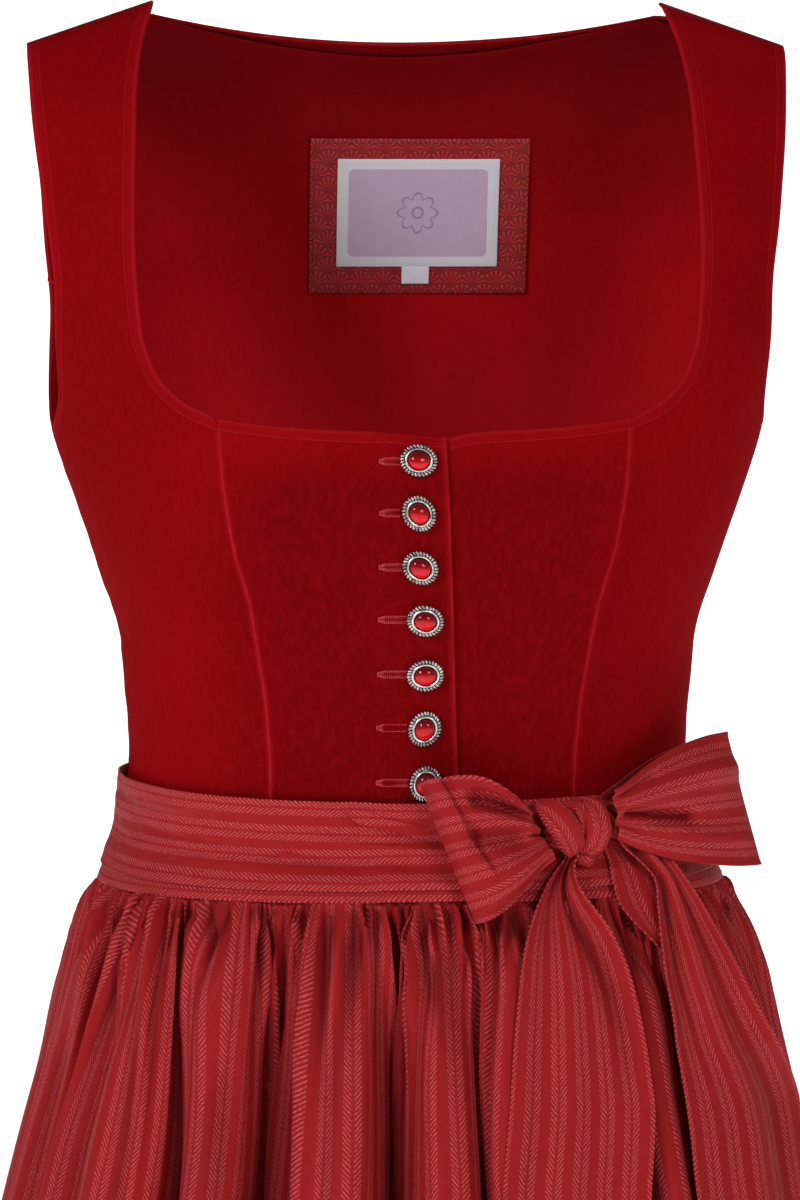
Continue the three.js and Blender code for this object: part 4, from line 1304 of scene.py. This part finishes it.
def pressed(across, reach, half, length, rows):
    """Height of dents and ridges on a loop. A row gives the ends of one as places across and reaches, its
    half width in millimetres, and its height."""
    total = np.zeros(across.shape)
    for across_a, reach_a, across_b, reach_b, wide, height in rows:
        start = np.array([across_a * half, reach_a * length])
        run = np.array([across_b * half, reach_b * length]) - start
        offset = np.stack([across * half, reach * length], axis=-1) - start
        part = np.clip(offset @ run / (run @ run), 0, 1)
        apart = np.linalg.norm(offset - part[..., None] * run, axis=-1)
        total = total + height * bell(apart, wide)
    return total


def loop_piece(node, knot, neck, fold, edge, half, knot_half, opening, belly, bulge, shape):
    """A loop of ribbon: out from the knot against the dress, round a fold, and back in front."""
    knot, neck, fold, edge = (np.array(v, float) for v in (knot, neck, fold, edge))
    edge = unit(edge)
    out = unit(np.cross(edge, fold - knot))
    if out[1] > 0:
        out = -out
    steps = (np.linspace(-1, 1, count + 1) for count in (LOOP_ROWS, LOOP_COLUMNS))
    across, along = np.meshgrid(*steps, indexing="ij")
    reach = 1 - along**2
    width = unit(mix(neck, edge, smooth(reach / 0.6)[..., None]))
    side = np.sign(along)
    gap = belly * np.sin(0.8 * math.pi * np.abs(along)) * side
    pleats = 1.2 * (1 - reach) * np.cos(2.5 * math.pi * across + 0.6 * side) * side
    hem = 0.7 * bell(np.abs(across) - 1, 0.045) * smooth(reach / 0.3)
    length = np.linalg.norm(fold - knot)
    relief = smooth((along - 0.04) / 0.16) * shape(across, reach, half, length)
    soft = 0.6 * ripple(across * 0.9, along * 1.4, 71 + half)
    height = gap + pleats + bulge * np.sin(math.pi * reach) + hem + relief + soft
    behind = 1 - 0.08 * smooth(-along / 0.3)
    spread = mix(knot_half, half, smooth(reach ** mix(opening[0], opening[1], (across + 1) / 2))) * behind
    points = mix(knot, fold, reach[..., None]) + out * height[..., None]
    points = points + width * (across * spread)[..., None]
    uv = np.stack([across * half / 10 + 3.96, along * length / 10], axis=-1)
    # Painted shade in the dents of the loop
    dark = np.clip((-relief - 2) / 8, 0, 0.8)
    jacquard_piece(node, LOOP_HELD, points, uv=uv, values={"valley": dark})


def left_shape(across, reach, half, length):
    """Dents next to the knot, a crease near the fold and a lower edge that rolls under."""
    rows = [
        (-0.12, 0.66, -0.02, 0.3, 6.0, -6.0),
        (-0.7, 0.52, -0.62, 0.14, 4.6, -7.5),
        (-0.4, 0.5, -0.34, 0.1, 2.6, 2.4),
        (0.0, 0.0, -0.02, 0.05, 3.0, -5.0),
        (0.45, 0.7, 0.4, 0.1, 6.0, 1.5),
    ]
    past_crease = (reach - 0.75 + 0.1 * (across + 0.35)) / 0.05
    faded = smooth((0.6 - across) / 0.4)
    flap = (3.0 * smooth(past_crease) - 1.4 * bell(past_crease + 0.7, 0.9)) * faded
    under = smooth((across - 0.72) / 0.28) * smooth(reach / 0.2) * smooth((0.98 - reach) / 0.3)
    return pressed(across, reach, half, length, rows) + flap - 5.0 * under


def right_shape(across, reach, half, length):
    """Dents next to the knot and an upper edge that falls back."""
    rows = [
        (0.0, 0.1, 0.2, 0.5, 4.0, -6.5),
        (-0.4, 0.1, -0.47, 0.95, 5.0, 2.6),
        (0.42, 0.2, 0.55, 0.85, 4.5, 1.8),
        (-0.75, 0.0, -0.7, 0.3, 3.0, -2.0),
    ]
    upper = smooth((-0.5 - across) / 0.5) * smooth(reach / 0.3) * smooth((1.02 - reach) / 0.2)
    return pressed(across, reach, half, length, rows) - 4.0 * upper


loop_piece(
    "bow_loop_left",
    knot=(48.5, -101.5, -359.5),
    neck=(0.48, 0, -0.88),
    fold=(8.4, -112.5, -365.8),
    edge=(23.6, -10, -60.5),
    half=32,
    knot_half=12.5,
    opening=(0.36, 0.75),
    belly=7,
    bulge=3,
    shape=left_shape,
)
loop_piece(
    "bow_loop_right",
    knot=(80.5, -91, -352),
    neck=(0.1, 0, -1),
    fold=(142.6, -52, -349.5),
    edge=(14.4, 0, -55.7),
    half=30,
    knot_half=10,
    opening=(0.6, 0.5),
    belly=7,
    bulge=1,
    shape=right_shape,
)

# drop, left edge, right edge in degrees, lift, and how far the outer edge stands off
LEFT_TAIL = np.array([
    (368, 27.4, 29, 8.2, 0),
    (373, 27, 28.7, 8.5, 0),
    (378, 24.6, 27.2, 8.5, 0),
    (384, 21.6, 26.6, 8.2, 0),
    (392, 18.8, 27.4, 8, 0),
    (402, 16.1, 29.3, 7.6, 0),
    (413, 13.9, 30.6, 7.2, 0),
    (433, 12, 31.7, 6.6, 0),
    (451, 10.8, 32, 6, 0),
    (470, 9.9, 31.9, 5.6, 0),
    (490, 8.8, 30.6, 5.4, 0),
    (511, 7.9, 28.9, 5.2, 0),
    (600, 7.8, 26.2, 5, 0),
    (720, 8.4, 24.7, 5, 0),
    (840, 9.2, 23.7, 5, 0),
])
RIGHT_TAIL = np.array([
    (350, 36.4, 40.5, 11, 0),
    (354, 36.9, 43.2, 14, 0),
    (360, 37.1, 45.2, 14.5, 0),
    (372, 38.4, 47, 13, 1),
    (380, 41.4, 48.5, 12, 1.5),
    (386, 43.2, 49.8, 11, 2),
    (397, 41.6, 51, 9.8, 3),
    (409, 39.6, 51.6, 8.8, 4),
    (423, 38.4, 52.4, 8, 7),
    (440, 38.2, 54.4, 7, 9),
    (453, 37.9, 57, 6.2, 10),
    (466, 37.9, 60.5, 6, 8),
    (482, 37.8, 63, 5.6, 6),
    (515, 37, 61.5, 5.2, 4),
    (600, 38.5, 57, 5, 2),
    (700, 39.5, 56, 5, 0),
    (810, 41, 55.3, 5, 0),
])
# The part of the right tail that is folded back behind it under the knot
TAIL_LEAF = np.array([
    (366, 36.5, 41, 6.2, 0),
    (374, 36.6, 44, 6.2, 0),
    (384, 35.4, 46, 6.2, 0),
    (392, 34.9, 46, 6, 0),
    (398, 35.9, 45, 5.8, 0),
    (404, 37.6, 44, 5.6, 0),
    (409, 39.3, 43, 5.4, 0),
    (413, 40.6, 42, 5.2, 0),
])
# Creases of the tails: place across at the top and lower down, half width, height, and drop of its foot
LEFT_CREASES = [
    (0.62, 0.84, 0.1, -3.2, 480),
    (0.3, 0.3, 0.13, -1.2, 420),
    (1.0, 1.0, 0.07, 2.6, 620),
    (0.42, 0.42, 0.12, 1.4, 900),
    (0.2, 0.16, 0.06, -0.8, 900),
]
RIGHT_CREASES = [
    (0.32, 0.24, 0.08, -2.6, 470),
    (0.55, 0.5, 0.12, 1.8, 900),
    (0.78, 0.75, 0.08, -1.6, 700),
    (0.05, 0.03, 0.07, 1.6, 620),
]
LEAF_CREASES = [(0.6, 0.6, 0.2, 0.8, 900)]
TAIL_COLUMNS = 40
TAIL_HELD = {"held": "hung", "rests_on": ["apron_cloth"]}


def tail_piece(name, node, table, seed, creases, wide=64):
    left_edge, right_edge, raised, standing = (curve(table[:, [0, i]]) for i in range(1, 5))
    top, foot = table[0, 0], table[-1, 0]
    drops = np.concatenate([np.arange(top, min(foot, 480), 2.2), np.arange(480, foot, 8), [foot]])
    drop, part = np.meshgrid(drops, np.linspace(0, 1, TAIL_COLUMNS + 1), indexing="ij")
    height = raised(drop) + standing(drop) * part**2 + 0.7 * ripple(part * 1.1, drop / 90, seed)
    # Painted shade along the dented creases
    dark = np.zeros(height.shape)
    for centre, low_centre, width, size, low_end in creases:
        middle = mix(centre, low_centre, smooth((drop - 380) / 60))
        shape = bell(part - middle, width) * smooth((low_end - drop) / (low_end - 390))
        height = height + size * shape
        dark = dark + max(0, -size) * 0.3 * shape
    hem = bell(part - 1, 0.035) + 0.6 * bell(part, 0.03)
    height = height + hem * smooth((drop - top - 8) / 20)
    points = points_on(mix(left_edge(drop), right_edge(drop), part) * DEG, drop, height)
    uv = np.stack([part * wide / 10 + 0.765, drop / 10], axis=-1)
    values = {"valley": np.minimum(dark, 0.9)}
    shell(name, points, CLOTH, [jacquard], node, TAIL_HELD, uv=uv, values=values)


tail_piece("bow_tail_left_cloth", "bow_tail_left", LEFT_TAIL, 81, LEFT_CREASES)
tail_piece("bow_tail_right_cloth", "bow_tail_right", RIGHT_TAIL, 83, RIGHT_CREASES)
tail_piece("bow_tail_right_leaf", None, TAIL_LEAF, 85, LEAF_CREASES, wide=24)

# Knot: stretches of ribbon bent over each other, each a flattened tube along a short spine. A spine is in
# knot coordinates: right, up, out.
KNOT_CENTRE = points_on(28.6 * DEG, 356.6, SASH_LIFT + 9.2)
KNOT_FACING = 24 * DEG
KNOT_OUT = np.array([math.sin(KNOT_FACING), -math.cos(KNOT_FACING), 0.0])
KNOT_UP = np.array([0.0, 0.0, 1.0])
KNOT_RIGHT = np.cross(KNOT_UP, KNOT_OUT)
KNOT_RINGS = 40
KNOT_SIDES = 28
# spine, width, thickness and shift of the stripes across
KNOT_WRAPS = [
    ([(-14.5, 11, -5), (-11, 7.5, 1.5), (-6, 0.5, 4.6), (-1.8, -6.5, 3.6), (0.8, -11, -2)], 13.5, 7.5, 0.2),
    ([(7, 11.5, -4), (9, 7, 2.6), (9.4, 0, 5), (8.2, -6.5, 3.6), (5, -11.5, -2)], 13.5, 8, 0.5),
    ([(1.8, 11, -4), (3.2, 6, 2), (3.6, -1, 2.8), (3, -7, 1)], 7, 6, 0.5),
    ([(1, -11.5, -4), (6.5, -14, 0), (12, -11.5, -4)], 6, 6, 0.4),
    ([(-13, 8, -6), (0, 9, -3), (13, 8, -6)], 8, 8, 0.1),
    ([(-11, -3, -6), (0, -2, -3), (13, -3, -6)], 16, 10, 0.1),
]


def rounded(value):
    return np.sign(value) * np.abs(value) ** 0.8


def knot_wrap(spine, wide, thick, shift):
    """Points and cloth coordinates of a pillow of ribbon along a spine."""
    spine = np.array(spine, float)
    chord = run_along(spine)
    part = np.linspace(0, 1, KNOT_RINGS)
    line = np.stack([curve(list(zip(chord / chord[-1], spine[:, i])))(part) for i in range(3)], axis=-1)
    along = unit(np.gradient(line, axis=0))
    face = unit(np.array([0.0, 0.0, 1.0]) - along * along[:, 2:])
    side = np.cross(along, face)
    angle = round_circle(KNOT_SIDES)
    size = np.sin(math.pi * np.clip(part, 0.02, 0.98)) ** 0.35
    groove = 1 + 0.06 * np.cos(5 * angle + 2)
    local = line[:, None]
    for axis, reach, half in ((side, np.cos(angle), wide / 2), (face, np.sin(angle), thick / 2)):
        local = local + axis[:, None] * np.outer(half * size, rounded(reach) * groove)[..., None]
    right, up, out = local[..., :1], local[..., 1:2], local[..., 2:]
    points = KNOT_CENTRE + right * KNOT_RIGHT + up * KNOT_UP + out * KNOT_OUT
    shape = (KNOT_RINGS, KNOT_SIDES)
    across = np.broadcast_to(rounded(np.cos(angle)) * wide / 20, shape)
    length = np.broadcast_to(part[:, None] * chord[-1] / 10, shape)
    return points.reshape(-1, 3), np.stack([across + shift, length], axis=-1).reshape(-1, 2)


def knot_piece():
    vertices, uvs = zip(*(knot_wrap(*wrap) for wrap in KNOT_WRAPS))
    faces = []
    for index in range(len(KNOT_WRAPS)):
        faces.append(tube_faces(KNOT_RINGS, KNOT_SIDES, index * KNOT_RINGS * KNOT_SIDES)[:, ::-1])
    vertices, uv, faces = (np.concatenate(rows) for rows in (vertices, uvs, faces))
    make_piece("bow_knot_cloth", vertices, [faces], [jacquard], "bow_knot", uv=uv)


knot_piece()

# Buttons

# place across, drop and the angle of the long side from level
BUTTONS = [
    (-4.2, 199.4, -6),
    (-4.2, 220.6, -55),
    (-3.5, 243.4, -35),
    (-1.1, 265.6, -13),
    (-0.6, 289.4, 4),
    (-0.5, 312.7, 68),
    (0.2, 336.6, 80),
]
SQUASH = 14.0 / 16.1  # short side by long side
# radius and height of turned profiles
DISH = [
    (0.1, 0.0), (5.5, 0.2), (6.9, 0.9), (7.2, 1.5), (6.6, 2.1),
    (6.3, 2.2), (6.2, 1.9), (5.2, 1.8), (0.1, 1.8),
]
RING = [(4.95, 1.7), (4.95, 2.7), (5.3, 3.2), (5.85, 3.1), (6.15, 2.5), (6.15, 1.7)]
STONE = [(4.6, 1.7), (4.6, 2.5), (4.3, 3.2), (3.7, 3.85), (2.7, 4.4), (1.5, 4.75), (0.05, 4.85)]
ROPE_BEADS = 30
ROPE_RADIUS = 7.05
BEAD_HALF = 1.0
BEAD_LEAN = 0.45
BEAD_WIDE = 1.35
BEAD_HIGH = 2.0


def turned(profile, sides):
    """Rings of a turned profile about +Z, as vertices and faces. The profile runs outwards from below."""
    angle = round_circle(sides)
    rings = []
    for radius, height in profile:
        ring = [radius * np.cos(angle), radius * np.sin(angle), np.full(sides, height)]
        rings.append(np.stack(ring, axis=-1))
    return np.concatenate(rings), [tube_faces(len(profile), sides)]


def rope_bead(index):
    angle = CIRCLE * index / ROPE_BEADS
    radial = np.array([math.cos(angle), math.sin(angle), 0.0])
    lean = BEAD_LEAN * np.array([-math.sin(angle), math.cos(angle), 0.0])
    start = (ROPE_RADIUS - BEAD_HALF) * radial - lean + [0, 0, 1.9]
    end = (ROPE_RADIUS + BEAD_HALF) * radial + lean + [0, 0, 1.7]
    return capsule(start, end, BEAD_WIDE, BEAD_HIGH, np.array([0.0, 0.0, 1.0]), sides=8)


def button_piece(index, x, drop, degrees):
    point, normal = on_form(turn_at(x, drop), float(drop), PLACKET_LIFT + 0.4)
    level = unit(np.cross([0.0, 0.0, 1.0], normal))
    long_side = np.array(Matrix.Rotation(degrees * DEG, 3, Vector(normal)) @ Vector(level))
    short_side = np.cross(normal, long_side)

    def placed(shape, look):
        vertices, faces = shape
        across, up, out = vertices[:, :1], vertices[:, 1:2], vertices[:, 2:]
        return point + across * long_side + up * SQUASH * short_side + out * normal, faces, look

    metal = [placed(turned(DISH, 40), 1), placed(turned(RING, 40), 0)]
    metal += [placed(rope_bead(bead), 2) for bead in range(ROPE_BEADS)]
    joined(f"button_{index}_metal", metal, [silver, dark_silver, rope_silver], f"button_{index}")
    stone = placed(turned(STONE, 32), 0)
    joined(f"button_{index}_stone", [stone], [red_stone], f"button_stone_{index}")


for number, row in enumerate(BUTTONS, start=1):
    button_piece(number, *row)

# Buttonholes: rows of stitches on both sides of a slit, inside a corded edge that comes to a point

SLIT_FAR = -19.6
SLIT_HALF = 1.45
SLIT_NEAR = 6.5  # from a button's middle
THREAD = 0.62
STITCH_START = 1.5
STITCH_STEP = 0.8
CORD = 0.7
CORD_START = 1.4
CORD_STEP = 1.3
# The pointed end: place from the far end and drop from the middle at both ends of a cord, and lift
POINT = [(-0.9, 0.5, 1.5, SLIT_HALF, 0.2), (-0.3, 0.3, 1.7, 0.75, 0.1)]
TIP_HALF = 1.1


def buttonhole_piece():
    parts = []

    def stitch(x0, drop0, x1, drop1, wide, lift, look):
        across, down = np.array([x0, x1]), np.array([drop0, drop1])
        points, normals = on_form(turn_at(across, down), down, PLACKET_LIFT + lift)
        parts.append((*capsule(points[0], points[1], wide, wide * 0.9, normals[0], sides=5), look))

    for x, drop, _ in BUTTONS:
        room = x - SLIT_NEAR - SLIT_FAR - STITCH_START
        for i in range(int(room / STITCH_STEP)):
            across = SLIT_FAR + STITCH_START + STITCH_STEP * i
            for sign in (-1, 1):
                stitch(across, drop + sign * 0.2, across + 0.2, drop + sign * SLIT_HALF, THREAD, 0.0, 1)
        for i in range(int(room / CORD_STEP)):
            across = SLIT_FAR + CORD_START + CORD_STEP * i
            for sign in (-1, 1):
                level = drop + sign * SLIT_HALF
                stitch(across, level, across + 1.2, level, THREAD, 0.2, 0)
        for sign in (-1, 1):
            for x0, down0, x1, down1, lift in POINT:
                ends = (SLIT_FAR + x0, drop + sign * down0, SLIT_FAR + x1, drop + sign * down1)
                stitch(*ends, CORD, lift, 0)
        tip = SLIT_FAR + POINT[0][0]
        stitch(tip, drop - TIP_HALF, tip, drop + TIP_HALF, 0.75, 0.2, 0)
    joined("buttonholes", parts, [red_thread, velvet_thread])


buttonhole_piece()

# Studio, in metres

WHITE = (1.0, 1.0, 1.0, 1.0)
FLOOR = -1.52
FLOOR_HALF = 7.0
DOME_RADIUS = 14
DOME_RINGS = 24
DOME_SIDES = 48


def staged(name, vertices, faces, material, camera_only=False):
    mesh = bpy.data.meshes.new(name)
    mesh.from_pydata(vertices, [], faces)
    mesh.materials.append(material)
    thing = linked(name, mesh)
    if camera_only:
        thing.visible_diffuse = False
        thing.visible_glossy = False
        thing.visible_transmission = False
        thing.visible_shadow = False


def floor():
    s = Shader("studio_floor", Roughness=0.8, Emission_Color=WHITE, Emission_Strength=0.9)
    material = s.set(Base_Color=s.blend(s.noise(s.place(), 3.0, 2.0), "ecebe9", "f3f2f0"))
    corners = [(-1, -1), (1, -1), (1, 1), (-1, 1)]
    vertices = [(x * FLOOR_HALF, y * FLOOR_HALF, FLOOR) for x, y in corners]
    staged("floor", vertices, [(0, 1, 2, 3)], material)


def backdrop():
    """A white dome that only the camera sees, so that it adds no light."""
    material = Shader("backdrop", Emission_Color=WHITE, Emission_Strength=1.2).material
    angle = round_circle(DOME_SIDES)
    height = np.linspace(-math.pi / 2 + 0.01, math.pi / 2 - 0.01, DOME_RINGS)
    flat, up = np.cos(height), np.sin(height)
    axes = [(flat, np.cos(angle)), (flat, np.sin(angle)), (up, np.ones(DOME_SIDES))]
    rings = np.stack([np.outer(*axis) for axis in axes], axis=-1) * DOME_RADIUS
    faces = tube_faces(DOME_RINGS, DOME_SIDES).tolist()
    staged("backdrop", rings.reshape(-1, 3).tolist(), faces, material, camera_only=True)


floor()
backdrop()

world = bpy.data.worlds.new("studio")
bpy.context.scene.world = world
world.use_nodes = True
background = next(node for node in world.node_tree.nodes if node.type == "BACKGROUND")
background.inputs["Color"].default_value = WHITE
background.inputs["Strength"].default_value = 0.14


def aimed(name, data, place, target):
    thing = linked(name, data)
    thing.location = place
    thing.rotation_euler = (Vector(target) - Vector(place)).to_track_quat("-Z", "Y").to_euler()
    return thing


# name, place, target, size in metres and power
LIGHTS = [
    ("key", (-2.0, -2.1, 1.1), (0, 0, -0.4), 0.75, 47),
    ("fill", (1.3, -2.7, 0.6), (0, 0, -0.4), 0.9, 26),
    ("back", (0.9, 3.2, 1.0), (0, 0, -0.5), 1.6, 50),
]
for name, place, target, size, power in LIGHTS:
    light_data = bpy.data.lights.new(name, "AREA")
    light_data.shape = "RECTANGLE"
    light_data.size = size
    light_data.size_y = size
    light_data.energy = power
    aimed(name, light_data, place, target)

# Camera, in front and a little to the wearer's right

FOCAL_PX = 5168
IMAGE_HEIGHT = 1200
SHIFT_PX = -7
CAMERA_PLACE = (-0.1801, -2.2881, -0.1166)
CAMERA_TARGET = (0, 0, -0.265)
camera_data = bpy.data.cameras.new("camera")
camera_data.sensor_width = 36
camera_data.lens = FOCAL_PX / IMAGE_HEIGHT * camera_data.sensor_width
camera_data.shift_x = SHIFT_PX / IMAGE_HEIGHT
camera_data.clip_end = 40
camera = aimed("camera", camera_data, CAMERA_PLACE, CAMERA_TARGET)
bpy.context.scene.camera = camera
bpy.context.scene.view_settings.view_transform = "Standard"
